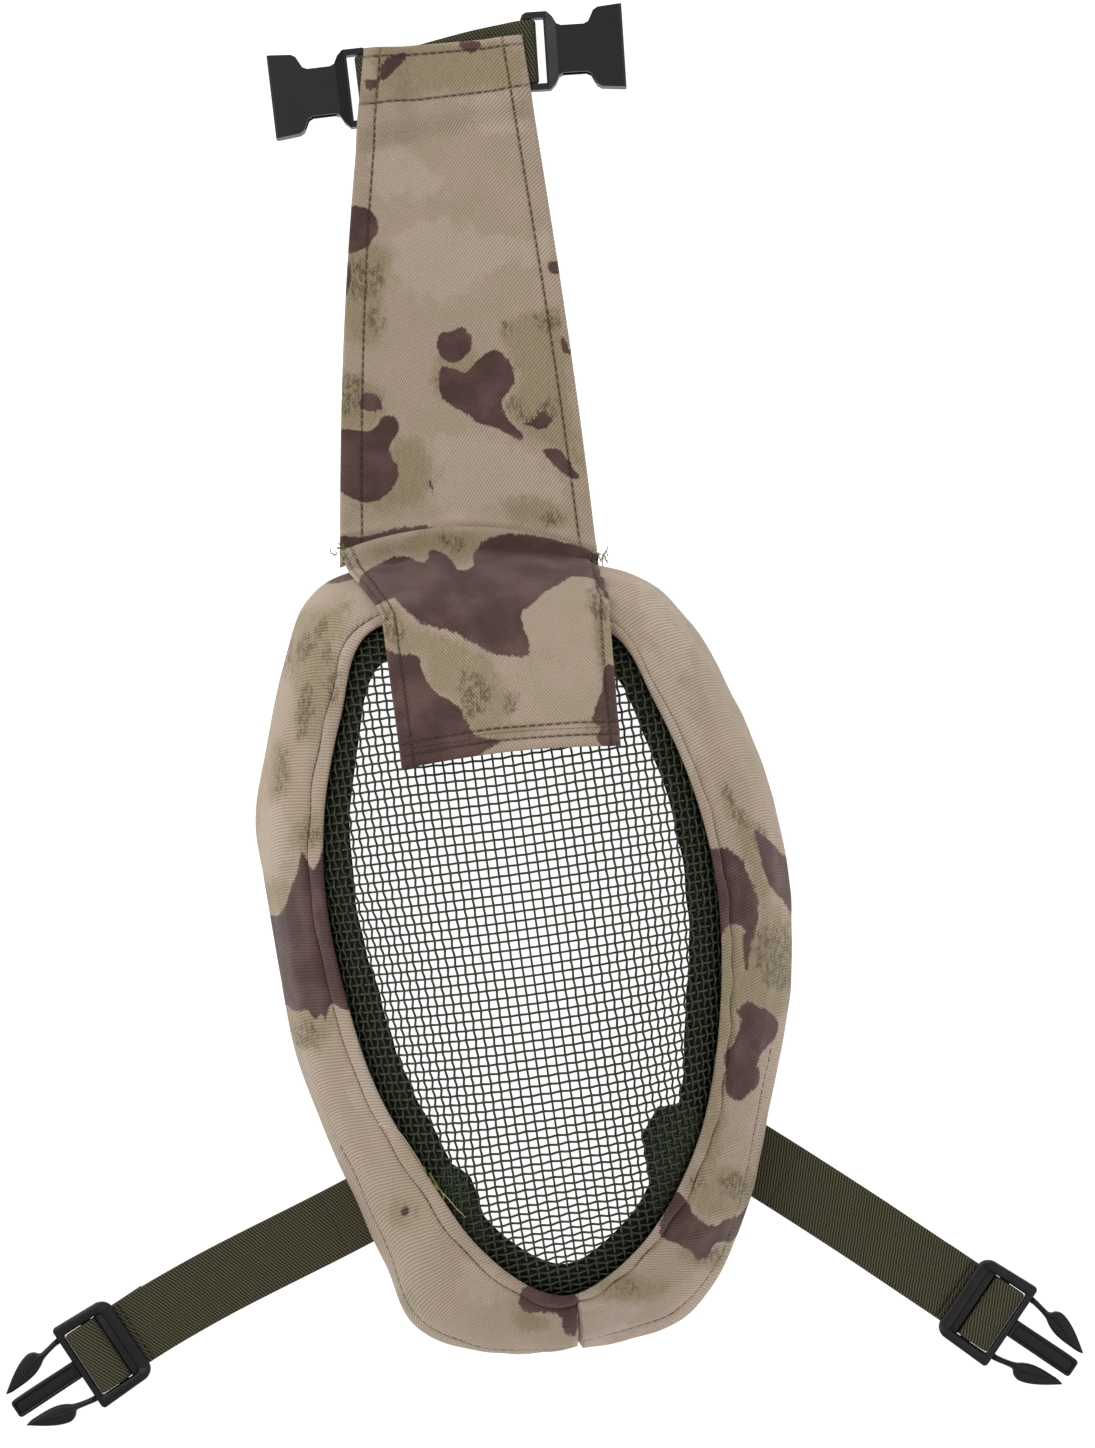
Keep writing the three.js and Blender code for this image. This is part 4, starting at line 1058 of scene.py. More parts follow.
patches = {
    "left": [(243.5, 7.0), (246, 10), (249, 12.5), (252, 14.5), (254.5, 13), (257.5, 9.5), (260.5, 7)],
    "right": [(296.5, 7), (299, 9.5), (302, 16), (304.5, 21.5), (309, 20), (314.3, 18), (317.5, 12),
              (320.5, 7)]}
for side, outline in patches.items():
    angles = np.radians(np.linspace(outline[0][0], outline[-1][0], 44))[:, None]
    inward = np.interp(np.degrees(angles[:, 0]), *np.array(outline).T)[:, None]
    edge = levelOf(angles, hemRadius(angles) - inward)
    t = lerp(edge, bandLevel(angles, 0.8), np.linspace(0, 1, 18)[None, :])
    cloth = Cloth(onDish(angles, t, -(lining["depth"] - 0.7)), 1.3, 0.6, "uv")
    patch = skin("strapPatch" + side.title(), cloth.rings(), liningCloth, body="mask", weave=cloth.weave())
    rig.replaces(patch, "strap_patch_" + side)
    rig.slot(patch, "padding")
    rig.padded(patch, 0.2)
print("lining and foam made")

# bridge cloth and nose flap
bridge = {"thick": 1.5, "leftX": -74.3, "leftY": 60.3, "rightX": 18.9, "rightY": 59.6, "sag": 9.3}
flap = {"thick": 1.5, "length": 46, "slope": 29.5, "seamHeight": 50.0, "hem": 4.2, "hemSpace": 4.6,
        "leftHem": 4.6, "seamLeft": -57.5, "seamRight": 22.0, "endLeft": -49.5, "endRight": 25.5}
seamY = crown[1] + dome["length"] * 0.4385
noseCamo = {
    "plum": [
        [(-60, 56), (-56, 58.5), (-49, 59), (-46, 56.5), (-42.5, 57), (-42, 61), (-38, 60.5), (-34, 57.5),
         (-31.5, 54), (-28.5, 53), (-26, 55), (-26.5, 59), (-24.5, 62.5), (-20.5, 65.5), (-13, 67),
         (-4, 66.5), (5, 64.5), (14, 62), (21.5, 58), (27, 53.5), (26.5, 49), (24.5, 44.5), (21, 42),
         (19, 46), (17, 49.5), (13.5, 50.5), (8.5, 50.5), (5, 48), (-0.5, 45), (-4, 41.5), (-8, 38),
         (-8.5, 35), (-7, 30.5), (-6, 26), (-6.5, 23), (-10.5, 22), (-16, 22.5), (-21, 24.5), (-26.5, 27.5),
         (-33, 30.5), (-38.5, 32), (-43, 33.5), (-46.5, 35.5), (-50.5, 39.5), (-53.5, 43), (-56, 41.5),
         (-59.5, 40.5), (-63.5, 43.5), (-66.5, 47.5), (-65, 52.5)],
        [(-57, 24.5), (-50, 22.5), (-44.5, 22.5), (-43, 18), (-41, 13), (-36.5, 8.5), (-31.5, 6), (-29, 3),
         (-27.5, -0.5), (-25.5, -4), (-22.5, -6), (-16, -7), (-21, -11), (-36.5, -16.5), (-50, -18.5),
         (-53, -7), (-55, 7)],
        [(21, 19.5), (24.5, 18), (26, 10.5), (27.5, 2), (28.5, -9.5), (19.5, -9), (17, -6), (18.5, -2.5),
         (15.5, 0), (17, 5), (19, 10.5)]],
    "khaki": [
        [(-58, 39.5), (-52.5, 40), (-47.5, 35), (-40.5, 31.5), (-32.5, 29), (-26.5, 24.5), (-19.5, 21),
         (-15.5, 14), (-10.5, 8.5), (-10.5, 3.5), (-14, 0), (-17.5, -6), (-23.5, -5.5), (-27.5, -0.5),
         (-33, 7), (-39.5, 10.5), (-42.5, 16.5), (-43.5, 22.5), (-50.5, 23.5), (-57, 24.5)],
        [(-54.5, 63), (-43.5, 67.5), (-31, 68.5), (-21.5, 65.5), (-25.5, 60.5), (-28, 54), (-31.5, 55),
         (-36, 60), (-42, 61), (-45, 58), (-50.5, 60), (-58, 59), (-62.5, 61)],
        [(16, 43.5), (21, 40), (23.5, 31.5), (22.5, 20), (19, 19), (18.5, 28), (16.5, 36.5), (14, 46)],
        [(13.5, -0.5), (18.5, -0.5), (19.5, -5.5), (14.5, -6)],
        [(-16, -1.5), (-2, -2.5), (-16, -7.5), (-22.5, -7)]],
    "speck": [
        [(-29, 16.5), (-23, 15.5), (-18.5, 10.5), (-21.5, 3), (-27.5, 2), (-29.5, 8.5)],
        [(-14.5, 10.5), (-10, 8.5), (-10.5, 3), (-14, 4)],
        [(15.5, 46), (20, 43.5), (20.5, 34), (17, 35)],
        [(-56.5, 37), (-52.5, 35.5), (-50, 28), (-55, 28)],
        [(-38, 66), (-29, 64.5), (-31, 60.5), (-36, 62)],
        [(22, 51.5), (26, 49), (24.5, 43.5), (21, 43.5)]]}


def edgeAt(u):
    return np.array([lerp(bridge["leftX"], bridge["rightX"], u),
                     lerp(bridge["leftY"], bridge["rightY"], u) + bridge["sag"] * 4 * u * (1 - u)])


def bridgeGrid(columns=84, rows=56):
    grid = []
    seamTop = flap["seamHeight"] - flap["thick"] / 2
    for u in np.linspace(0, 1, columns):
        x = lerp(flap["seamLeft"], flap["seamRight"], u)
        hemAngle = math.atan2(seamY - crown[1], x - crown[0])
        radius = math.hypot(x - crown[0], seamY - crown[1])
        start = float(levelOf(hemAngle, radius))
        side = abs(2 * u - 1)
        offset = lerp(2.2, 3.4, ease((side - 0.6) / 0.4))
        lift = seamTop - float(onDish(hemAngle, start, offset)[2])
        edge = edgeAt(u)
        rimAngle = math.atan2(edge[1] - crown[1], edge[0] - crown[0])
        points = [[x, seamY, seamTop]]
        for k in (0.14, 0.3, 0.46, 0.62, 0.78, 0.9, 1.0):
            angle = lerp(hemAngle, rimAngle, k)
            t = lerp(start, float(levelAt(angle, 5)), k)
            p = onDish(angle, t, offset)
            points.append([p[0], p[1], p[2] + lift * (1 - k) ** 2])
        foot = float(meshRadius(rimAngle)) + 3.4
        reach = math.hypot(*(edge - crown[:2]))
        points.append([crown[0] + foot * math.cos(rimAngle), crown[1] + foot * math.sin(rimAngle), 2.9])
        end = max(reach, foot + 1.5) + 0.5
        points.append([crown[0] + end * math.cos(rimAngle), crown[1] + end * math.sin(rimAngle), 3.0])
        grid.append(evened(through(points, 160), count=rows))
    return np.array(grid)


def flapGrid(columns=84, rows=50):
    u, v = np.meshgrid(np.linspace(0, 1, columns), np.linspace(0, 1, rows), indexing="ij")
    x = lerp(lerp(flap["seamLeft"], flap["seamRight"], u), lerp(flap["endLeft"], flap["endRight"], u), v)
    out = v * flap["length"] + lerp(7, -1, u) * v - 2 * np.sin(math.pi * u) * v
    rise = math.tan(math.radians(flap["slope"])) * out + 1.6 * np.sin(math.pi * v) \
        + 2.4 * (1 - (2 * u - 1) ** 2) * (1 - (1 - v) ** 2)
    z = flap["seamHeight"] - flap["thick"] / 2 + rise
    z = z + 0.7 * ripple(x, out, 31, 34) * ease(v * 2) + 1.2 * ease((v - 0.7) / 0.3) * ease((u - 0.8) / 0.2)
    return np.stack([x, seamY - out, z], -1)


def nearer(a, b): return np.where(np.abs(a) < np.abs(b), a, b)


def noseCloth():
    grid = np.concatenate([flapGrid()[:, ::-1], bridgeGrid()[:, 1:]], 1)
    cloth = Cloth(grid, bridge["thick"], 0.9, "uv")
    u, v, fromEnd, fromRight = cloth.u, cloth.v, cloth.v[:, -1:] - cloth.v, cloth.u[-1:] - cloth.u
    x, y = grid[..., 0], grid[..., 1]
    lift = 0.5 * ripple(u, v * 1.2, 41, 26) * ease(v / 14)
    turn = np.array([0.42, -0.907])              # the long crease across the bridge, running down to the flap
    off = (x + 30) * turn[1] * -1 - (y - 47) * turn[0] * -1
    along = (x + 30) * turn[0] + (y - 47) * turn[1]
    fade = ease((along + 16) / 10) * ease((34 - along) / 14)
    lift += fade * (-1.5 * hump(off, 0.5, 2.6) + 1.0 * hump(off, -5, 3.4))
    off = x - lerp(17.5, 21.0, ease((46 - y) / 50))  # gathers beside the right hem
    fade = ease((60 - y) / 8) * ease((y - 2) / 16)
    lift += fade * (-1.3 * hump(off, 0, 1.2) + 0.8 * hump(off, -3.2, 1.8))
    lift += 0.8 * ease((y - 34) / 6) * ease((58 - y) / 6) * hump(fromRight, 0, 5) * np.cos(y * 1.15)
    first, second = flap["hem"], flap["hem"] + flap["hemSpace"]
    right = lerp(3.4, 2.6, ease((y - 30) / 10))
    for distance in (v - first, v - second, fromRight - right, u - flap["leftHem"]):
        lift -= 0.35 * hump(distance, 0, 0.7)
    cloth.grid = cloth.grid + cloth.normal * lift[..., None]
    cloth.seams = (nearer(v - first, v - second), nearer(u - flap["leftHem"], fromRight - right),
                   np.minimum(u - 1.6, 60) + np.where(y < 34, 60, 0))
    return cloth


nosePiece = noseCloth()
rings = nosePiece.rings()
noseWhole = skin("noseCloth", rings, camoCloth, weave=nosePiece.weave() * [1, -1, 1],
                 fields=camoFields(rings, noseCamo), seam=nosePiece.seam())
noseStitches = []
for distance in (flap["hem"], flap["hem"] + flap["hemSpace"]):
    p, n = nosePiece.top(*nosePiece.inset(distance))
    noseStitches += stitches(p[3:-3], n[3:-3])
for distance, end in ((flap["leftHem"], False), (3.0, True)):
    p, n = nosePiece.top(*nosePiece.insetU(distance, end))
    noseStitches += stitches(p[5:-3], n[5:-3])
noseThread = skin("noseStitches", noseStitches, seamThread)
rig.replaces(noseWhole, "bridge", "nose_flap")
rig.slot(noseWhole, "camo_cloth")
for piece in (noseWhole, noseThread):
    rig.blend(piece, "mask", "flap", *((-0.0177, (seamY - past) / 1000, 0.05) for past in (0.4, 9)))
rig.sheet(noseWhole, (0.086, 0.113), "stretched", ["meshWiresAcross"], with_pieces=[noseThread])
print("bridge and flap made")

# top webbing and head panel
topBars = {"left": (-64.51, 227.21, 186.8), "right": (-6.51, 239.71, 3.7)}
webbing = {"width": 22.5, "thick": 1.3, "barRadius": 1.6, "gap": 0.3, "barHeight": 4.0}
topPath = planPath(topBars["left"], 6.8, topBars["right"], 3.7)


def webbingSag(s): return -2.2 * ease(s / 14) * ease((topPath[0] - s) / 14)


def topWebbing():
    bar, reach = webbing["barHeight"], webbing["barRadius"] + webbing["gap"] + webbing["thick"] / 2
    half, length = webbing["thick"] / 2 + 0.02, topPath[0]
    turn = np.linspace(0, math.pi, 13)
    line = [(s, bar + lerp(-reach, -half + webbingSag(s), float(ease((s - 1) / 7))))
            for s in np.linspace(24, 0.6, 12)]
    line += [(-reach * math.sin(a), bar - reach * math.cos(a)) for a in turn]
    near = lambda s: float(ease((min(s, length - s) - 1) / 7))
    line += [(s, bar + lerp(reach, half + webbingSag(s), near(s)))
             for s in np.linspace(0.6, length - 0.6, 46)]
    line += [(length + reach * math.sin(a), bar + reach * math.cos(a)) for a in turn]
    line += [(s, bar + lerp(-reach, -half + webbingSag(s), float(ease((length - s - 1) / 7))))
             for s in np.linspace(length - 0.6, length - 24, 12)]
    points, sides = onPath(topPath, line)
    return ribbon(points, sides, webbing["width"], webbing["thick"])


rings, weave = topWebbing()
topStrip = skin("topWebbing", rings, webbingCloth, body="panel", weave=weave)
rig.replaces(topStrip, "top_webbing")
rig.slot(topStrip, "webbing")

panel = {"thick": 1.3, "leftHem": (8.6, 6.1), "rightHem": (6.5, 7.2), "topHem": 3.4, "channel": 19.2,
         "under": 5.5, "farLeft": (-65.4, 240.6), "farRight": (-8.7, 245.4)}
panelBend = ((-0.0277, 0.064, 0.001), (-0.0277, 0.087, 0.001))
panelCamo = {
    "plum": [
        [(-72, 184), (-65, 184.5), (-62, 182), (-60.5, 177), (-62.5, 172.5), (-65, 169.5), (-72.5, 168.5)],
        [(-38, 139), (-34, 140), (-31, 141.5), (-27.5, 138), (-27, 134.5), (-29.5, 130), (-34, 128.5),
         (-38, 130.5), (-39.5, 134)],
        [(-37.5, 127.5), (-33, 126), (-29, 125), (-25.5, 129), (-22.5, 131.5), (-19, 133.5), (-15.5, 131.5),
         (-12.5, 128), (-11.5, 123.5), (-13, 118.5), (-15.5, 115), (-15.5, 111), (-13, 107.5), (-8, 102.5),
         (-8.5, 100.5), (-12.5, 102), (-18, 105), (-24, 106.5), (-29, 110), (-34, 113.5), (-37.5, 116),
         (-39, 120.5)],
        [(-9.5, 106.5), (-5, 108), (-2.5, 111), (1.5, 110), (2, 107), (-1.5, 104), (-6, 105.5)],
        [(-1.5, 97), (3.5, 97.5), (7, 94.5), (10, 90.5), (12, 87), (8.5, 87), (5, 89.5), (1.5, 93)],
        [(-76.5, 103.5), (-70, 104.5), (-64, 103.5), (-60.5, 106.5), (-58.5, 109), (-55, 109), (-53, 106),
         (-53.5, 103), (-55.5, 100), (-56, 95.5), (-53.5, 91.5), (-53, 88), (-55, 84), (-58.5, 80.5),
         (-63.5, 78), (-68.5, 79), (-73.5, 81.5), (-77, 83.5)],
        [(-66.5, 117.5), (-62, 117.5), (-59, 114.5), (-59, 112), (-63.5, 111), (-67, 112)],
        [(5, 139), (7.5, 135), (8.5, 131.5), (5.5, 133)],
        [(1, 164.5), (5, 164.5), (5, 160.5), (1.5, 160.5)],
        [(-73.5, 166), (-70.5, 162.5), (-71, 154.5), (-73.5, 149.5)],
        [(-55.5, 238), (-50.5, 239.5), (-51, 236.5), (-55, 232), (-57, 229.5), (-60.5, 228.5), (-59.5, 233),
         (-58.5, 236)],
        [(-65, 229), (-61, 229), (-61, 226), (-64.5, 226)],
        [(-31, 243.5), (-24, 243.5), (-24, 241), (-27, 239.5), (-31, 241)],
        [(-42, 86.5), (-40.5, 83.5), (-41, 80.5), (-42, 81.5)],
        # a thin plum strip just under the narrow fold above the arc at the left: part print, part painted shade of the
        # fold
        [(-76.5, 66), (-66.5, 66), (-60, 67.5), (-52.5, 69), (-43.5, 70), (-40.5, 69), (-45.5, 67.5),
         (-54.5, 65.5), (-61.5, 63), (-69, 61), (-75.5, 62.5)]],
    "khaki": [
        [(-63, 241.5), (-52.5, 243), (-38.5, 242.5), (-9.5, 240), (-9.5, 228.5), (-27.5, 226),
         (-45.5, 223.5), (-58, 221.5), (-65, 220), (-66.5, 224.5), (-61.5, 228.5), (-62.5, 234.5)],
        [(-72, 169), (-62.5, 171), (-57, 167), (-58, 160), (-60, 151), (-58.5, 144), (-60.5, 136.5),
         (-66.5, 135), (-73.5, 140), (-73.5, 162)],
        [(-55.5, 99), (-48.5, 100.5), (-43.5, 97), (-42.5, 90.5), (-40.5, 84.5), (-43, 80), (-51, 76.5),
         (-60, 75.5), (-70, 77.5), (-56, 83)],
        [(-75, 125), (-67, 124), (-60, 118.5), (-57.5, 111.5), (-62.5, 106), (-75, 104.5)],
        [(-16.5, 143), (-6, 146), (3.5, 147.5), (7, 136.5), (8.5, 115), (11.5, 100.5), (13.5, 90), (5, 97),
         (-6, 100.5), (-11.5, 106), (-15, 113.5), (-10, 122.5), (-14, 133)],
        [(-39.5, 132.5), (-26, 133), (-24, 126.5), (-34.5, 115), (-40.5, 118)],
        [(-15, 79), (-2.5, 80.5), (5.5, 75.5), (7, 70.5), (-4, 70), (-13, 72.5)]],
    "speck": [
        [(-72.5, 164.5), (-64, 164.5), (-58.5, 162), (-61.5, 154), (-67, 151), (-72.5, 154.5)],
        [(-63.5, 146.5), (-58.5, 146), (-59, 139), (-62.5, 139.5)],
        [(-73.5, 123), (-67.5, 122.5), (-67, 111), (-73.5, 109.5)],
        [(-14.5, 115), (-9.5, 116), (-6, 109.5), (2, 116), (1.5, 106), (-9.5, 108)],
        [(-4, 144.5), (5, 145.5), (3.5, 141), (-3, 140)],
        [(-16.5, 143), (-13, 141.5), (-14, 139)],
        [(-0.5, 75), (5.5, 74), (5, 70.5), (-0.5, 71.5)]],
    "pale": [
        [(-62.5, 208.5), (-54.5, 209), (-48.5, 201.5), (-51, 190.5), (-58, 188.5), (-63.5, 194)],
        [(-52.5, 174.5), (-34.5, 179), (-16.5, 172.5), (0.5, 174), (0.5, 164.5), (-16.5, 164.5),
         (-27.5, 154.5), (-42, 151), (-54.5, 162)],
        [(-42, 100.5), (-27.5, 103), (-9.5, 97), (5, 86.5), (5, 79), (-16.5, 77.5), (-34.5, 74), (-41, 79),
         (-38.5, 90)],
        [(-27.5, 224.5), (-13, 226), (-9.5, 212), (-24, 213)],
        [(-52.5, 201.5), (-42, 199.5), (-38.5, 190.5), (-47, 187)]]}


def panelGrid(columns=110, rows=190):
    farLeft, farRight = panel["farLeft"], panel["farRight"]
    low, high = webbing["barHeight"] + webbing["thick"] + webbing["gap"], 2 * webbing["barHeight"] - 0.4
    grid = np.zeros((columns, rows, 3))
    for c, u in enumerate(np.linspace(0, 1, columns)):
        y0, y1 = edgeAt(u)[1] - panel["under"], lerp(farLeft[1], farRight[1], u)
        v = np.linspace(0, 1, rows)
        left = lerp(bridge["leftX"], farLeft[0], v) - 2.6 * np.sin(math.pi * v)
        right = lerp(bridge["rightX"], farRight[0], v) + 1.6 * np.sin(math.pi * v) * (1 - 0.5 * v)
        x, y = lerp(left, right, u), lerp(y0, y1, v)
        way = headed(12)
        s = (x - topBars["left"][0]) * way[0] + (y - topBars["left"][1]) * way[1]
        inside = ease((s - 6) / 11) * ease((topPath[0] - 6 - s) / 11)
        over = lerp(high, low + webbingSag(s) + 0.4, inside)
        beyond = lerp(farLeft[0], farRight[0], u) - topBars["left"][0]
        south = topPath[1](beyond / headed(11)[0])[0, 1] - webbing["width"] / 2
        z = ease((y - (south - 13)) / 11) * over
        z = z + panel["thick"] / 2 + 0.15
        z = z + (0.9 + 0.9 * ripple(x, y * 0.6, 51, 44)) * ease((y - y0) / 20) * ease((south - 6 - y) / 30)
        z = z + 2.2 * ease((12 - (y - y0)) / 8) * 0.25
        grid[c] = np.column_stack([x, y, z])
    return grid


panelCloth = Cloth(panelGrid(), panel["thick"], 0.8, "uv")
u, v = panelCloth.u, panelCloth.v
farEnd, farSide = v[:, -1:] - v, u[-1:] - u
x, y = panelCloth.grid[..., 0], panelCloth.grid[..., 1]
part = np.clip(v / v[:, -1:], 0, 1)
leftHem, rightHem = lerp(*panel["leftHem"], part), lerp(*panel["rightHem"], part)
channel = panel["channel"] + 1.2 - 2.2 * (u / u[-1:])
edgeLine = edgeAt((x - bridge["leftX"]) / (bridge["rightX"] - bridge["leftX"]))[1]
past = y - edgeLine                                # how far beyond the arc of the bridge
lift = 1.5 * hump(past, 2.2, 1.9) * ease((x + 44) / 14)
pleat = past - lerp(6.2, 1.0, ease((x + 76) / 32)) # a narrow fold above the arc at the left
lift += 1.3 * hump(pleat, 0, 1.5) * ease((-38 - x) / 4)
for gap in (u - leftHem, farSide - rightHem, farEnd - panel["topHem"], farEnd - channel):
    lift -= 0.35 * hump(gap, 0, 0.8)
pull = 0.25 * ripple(u * 2.2, v, 61, 16) * (hump(u, 0, 9) + hump(farSide, 0, 9))
lift += pull + 0.3 * hump(u, 3, 2.5) + 0.3 * hump(farSide, 3, 2.5)
panelCloth.grid = panelCloth.grid + panelCloth.normal * lift[..., None]
panelCloth.grid[..., 2] = np.maximum(panelCloth.grid[..., 2], panel["thick"] / 2 + 0.05)
panelCloth.seams = (np.where(u < farSide, u - leftHem, farSide - rightHem), farEnd - panel["topHem"],
                    farEnd - channel)
rings = panelCloth.rings()
headPanel = skin("headPanel", rings, camoCloth, weave=panelCloth.weave(),
                 fields=camoFields(rings, panelCamo), seam=panelCloth.seam())
panelStitches = []
for distance in (panel["topHem"], channel[:, -1]):
    p, n = panelCloth.top(*panelCloth.inset(distance, True))
    panelStitches += stitches(p[6:-6], n[6:-6])
for distance, end in ((leftHem[0], False), (rightHem[-1], True)):
    p, n = panelCloth.top(*panelCloth.insetU(distance, end))
    panelStitches += stitches(p[9:-4], n[9:-4])
panelThread = skin("panelStitches", panelStitches, seamThread)
for piece in (headPanel, panelThread):
    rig.blend(piece, "mask", "panel", *panelBend)
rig.replaces(headPanel, "head_panel")
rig.slot(headPanel, "camo_cloth")
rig.sheet(headPanel, (0.094, 0.188), "laid", ["topWebbing"], area=0.0149, with_pieces=[panelThread])
print("head panel made")

# straps
strapSize = {"width": 25, "thick": 1.4, "slack": 0.25, "sewnDepth": 7.2, "adjust": 35}
straps = {
    "left": {"exit": 233.5, "bearing": 208.3, "heading": 208, "endHeading": 213.5, "reach": 92.3, "hand": -1},
    "right": {"exit": 319.7, "bearing": 326.8, "heading": 328, "endHeading": 326, "reach": 84.2, "hand": 1}}
loopLine = [(-1.5, 2.4), (6.2, 2.4), (8, 3.1), (8.9, 4.6), (10.2, 5.7), (13.2, 6.2), (16.8, 6.05), (19, 5.1),
            (19.6, 3.3), (18.8, 1.5), (16, 0.75), (4, 0.75), (-12, 0.75)]
buckleAt = {}
for side, strap in straps.items():
    angle = math.radians(strap["exit"])
    edge = float(clothRadius(angle)) + 1.6
    start = crown[:2] + edge * headed(strap["exit"])
    end = start + strap["reach"] * headed(strap["bearing"])
    path = planPath(start, strap["heading"], end, strap["endHeading"])
    low, reach = strapSize["slack"] + strapSize["thick"] / 2, strap["reach"]
    rootLine = [(s, low) for s in np.linspace(-24, 9, 34)]
    points, sides = onPath(path, rootLine)
    rings, weave = ribbon(points, sides, strapSize["width"] - 0.3, strapSize["thick"] - 0.1)
    root = skin("strapRoot" + side.title(), rings, webbingCloth, weave=weave)
    flatEnd = [(s, low) for s in np.linspace(9, reach - 37, 32)]
    line = through([(reach - 37, low), (reach - 30, 1.6), (reach - 23.5, 2.35), (reach - 1.8, 2.4)], 40)
    points, sides = onPath(path, flatEnd + [tuple(q) for q in line[1:]])
    rings, weave = ribbon(points, sides, strapSize["width"] - 0.3, strapSize["thick"] - 0.1)
    weave = weave + [0, 33, 0]
    run = skin("strap" + side.title(), rings, webbingCloth, body=f"strap_{side}_run", weave=weave)
    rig.replaces(run, "strap_" + side)
    outward = headed(strap["heading"])
    at = lambda s: (*(start + outward * s) / 1000, 0.00095)
    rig.blend(root, "mask", f"strap_{side}_run", at(-3.0), at(6.0))
    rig.squash(run, f"strap_{side}_adjust", axis=(*outward, 0), anchor=at(9.0),
              keep=1 - strapSize["adjust"] / (reach - 10.8))
    place = path[1](path[0])[0]
    buckleAt[side] = (place, strap["endHeading"])
    loop = evened(through(loopLine, 120), count=90)
    local = np.column_stack([loop[:, 0], 0 * loop[:, 0], loop[:, 1]])
    points = placed(local, *place, strap["endHeading"])
    heading = math.radians(strap["endHeading"])
    sides = np.tile([-math.sin(heading), math.cos(heading), 0], (len(points), 1))
    rings, weave = ribbon(points, sides, strapSize["width"] - 0.3, strapSize["thick"] - 0.1)
    loopPiece = skin("strapLoop" + side.title(), rings, webbingCloth, weave=weave)
    bendAt = [tuple(placed([[s, 0, 3]], *place, strap["endHeading"])[0] / 1000) for s in (2.5, 8.5)]
    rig.blend(loopPiece, f"strap_{side}_end", f"plug_{side}", *bendAt)
    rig.replaces(loopPiece, "strap_loop_" + side)
    # the sewn end inside the rim
    centre = math.radians(strap["exit"])
    base = float(meshRadius(centre)) - lining["foamWidth"] - 1.6
    bend = [onDish(centre, t, -strapSize["sewnDepth"]) for t in (0.93, 0.87, 0.8)]
    out = np.array([math.cos(centre), math.sin(centre)])
    knee = np.array([*(crown[:2] + out * base), lining["foamHeight"] + 3])
    foot = np.array([*(crown[:2] + out * base), 1.4])
    line = evened(through([foot, knee, *bend], 60), count=36)
    across = np.tile([-out[1], out[0], 0], (len(line), 1))
    rings, weave = ribbon(line, across, strapSize["width"] - 1, strapSize["thick"])
    sewn = skin("strapSewn" + side.title(), rings, webbingCloth, body="mask", weave=weave)
    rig.replaces(sewn, "strap_sewn_" + side)
    for piece in (root, run, loopPiece, sewn):
        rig.slot(piece, "webbing")
    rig.sheet(root, (0.025, 0.033), "laid")
    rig.sheet(run, (0.025, (reach - 10.8) / 1000), "laid")
print("straps made")

# buckles
buckle = {
    "soft": 0.9, "length": 23, "half": 16.3, "backCorner": 4.6, "frontCorner": 1.1, "backBar": 4.6,
    "rail": 3.55, "ridge": 0.5,
    "frontBar": 2.5, "low": 0.3, "high": 6.8, "frontHigh": 5.6, "overWebbing": 3.45, "ear": 0.7,
    "prongTip": 50, "prongHalf": 3.4, "armLow": 1.1, "armHigh": 4.5, "bevel": 0.0007}
armOuter = [(23.3, 13.4), (25, 13.2), (28.5, 12.5), (31.4, 12.2), (32.9, 13.7), (35, 14.4), (38.4, 13.6),
            (42.4, 11.6), (46.2, 9.1), (49.2, 6.9)]
armInner = [(23.3, 11.2), (25, 11.1), (28.5, 10.4), (31.4, 9.5), (33.6, 8.1), (36.5, 6.9), (40, 6.3),
            (44, 6.1), (47.4, 6.1), (49.2, 6.5)]
armRidge = [(26.5, 11.9), (30, 11.2), (33.4, 11.3), (36.8, 10.4), (40.8, 8.8), (45.2, 7)]
roundTurn = np.radians([-90, -60, -30, 0, 0, 30, 60, 90])


def roundedBox(s0, s1, half, back, front, per=9):   # corners of a plan, with its back at s0
    corners = ((s1 - front, 1, front, 0), (s0 + back, 1, back, 90), (s0 + back, -1, back, 180),
               (s1 - front, -1, front, 270))
    return np.array([(s + r * math.cos(math.radians(t)), hand * (half - r) + r * math.sin(math.radians(t)))
                     for s, hand, r, t0 in corners for t in np.linspace(t0, t0 + 90, per)])


def levels(low, high, soft):                        # heights up a rounded edge
    low, high = np.broadcast_arrays(low, high)
    rise = soft * np.sin(roundTurn)
    return np.where(np.arange(8) < 4, low[..., None] + soft + rise, high[..., None] - soft + rise)


def hoop(outer, inner, low, high, soft):            # a rounded bar that runs round between two outlines
    away = inner - outer
    away /= np.linalg.norm(away, axis=1, keepdims=True)
    inset, z = soft * (1 - np.cos(roundTurn)), levels(low, high, soft)
    front = outer[:, None] + away[:, None] * inset[:, None]
    back = inner[:, None] - away[:, None] * inset[:, None]
    return np.concatenate([np.concatenate([front, z[..., None]], -1),
                           np.concatenate([back, z[..., None]], -1)[:, ::-1]], 1)


def plate(outer, inner, low, high, soft, count=44): # a flat piece with rounded edges, between two edge lines
    edges = [evened(through(line, 160), count=count) for line in (outer, inner)]
    gap = np.linalg.norm(edges[0] - edges[1], axis=1)
    loop = np.vstack([edges[0], edges[1][::-1]])
    along = np.roll(loop, -1, 0) - np.roll(loop, 1, 0)
    out = np.stack([along[:, 1], -along[:, 0]], 1)
    out /= np.maximum(np.linalg.norm(along, axis=1, keepdims=True), 1e-9)
    out *= np.sign((out[count // 2] * (edges[0] - edges[1])[count // 2]).sum())
    room = np.minimum(soft, 0.42 * np.concatenate([gap, gap[::-1]]))
    z = levels(np.array([low]), np.array([high]), soft)[0]
    inset = [loop - out * (room * (1 - math.cos(t)))[:, None] for t in roundTurn]
    return np.stack([np.column_stack([line, np.full(len(line), h)]) for line, h in zip(inset, z)])


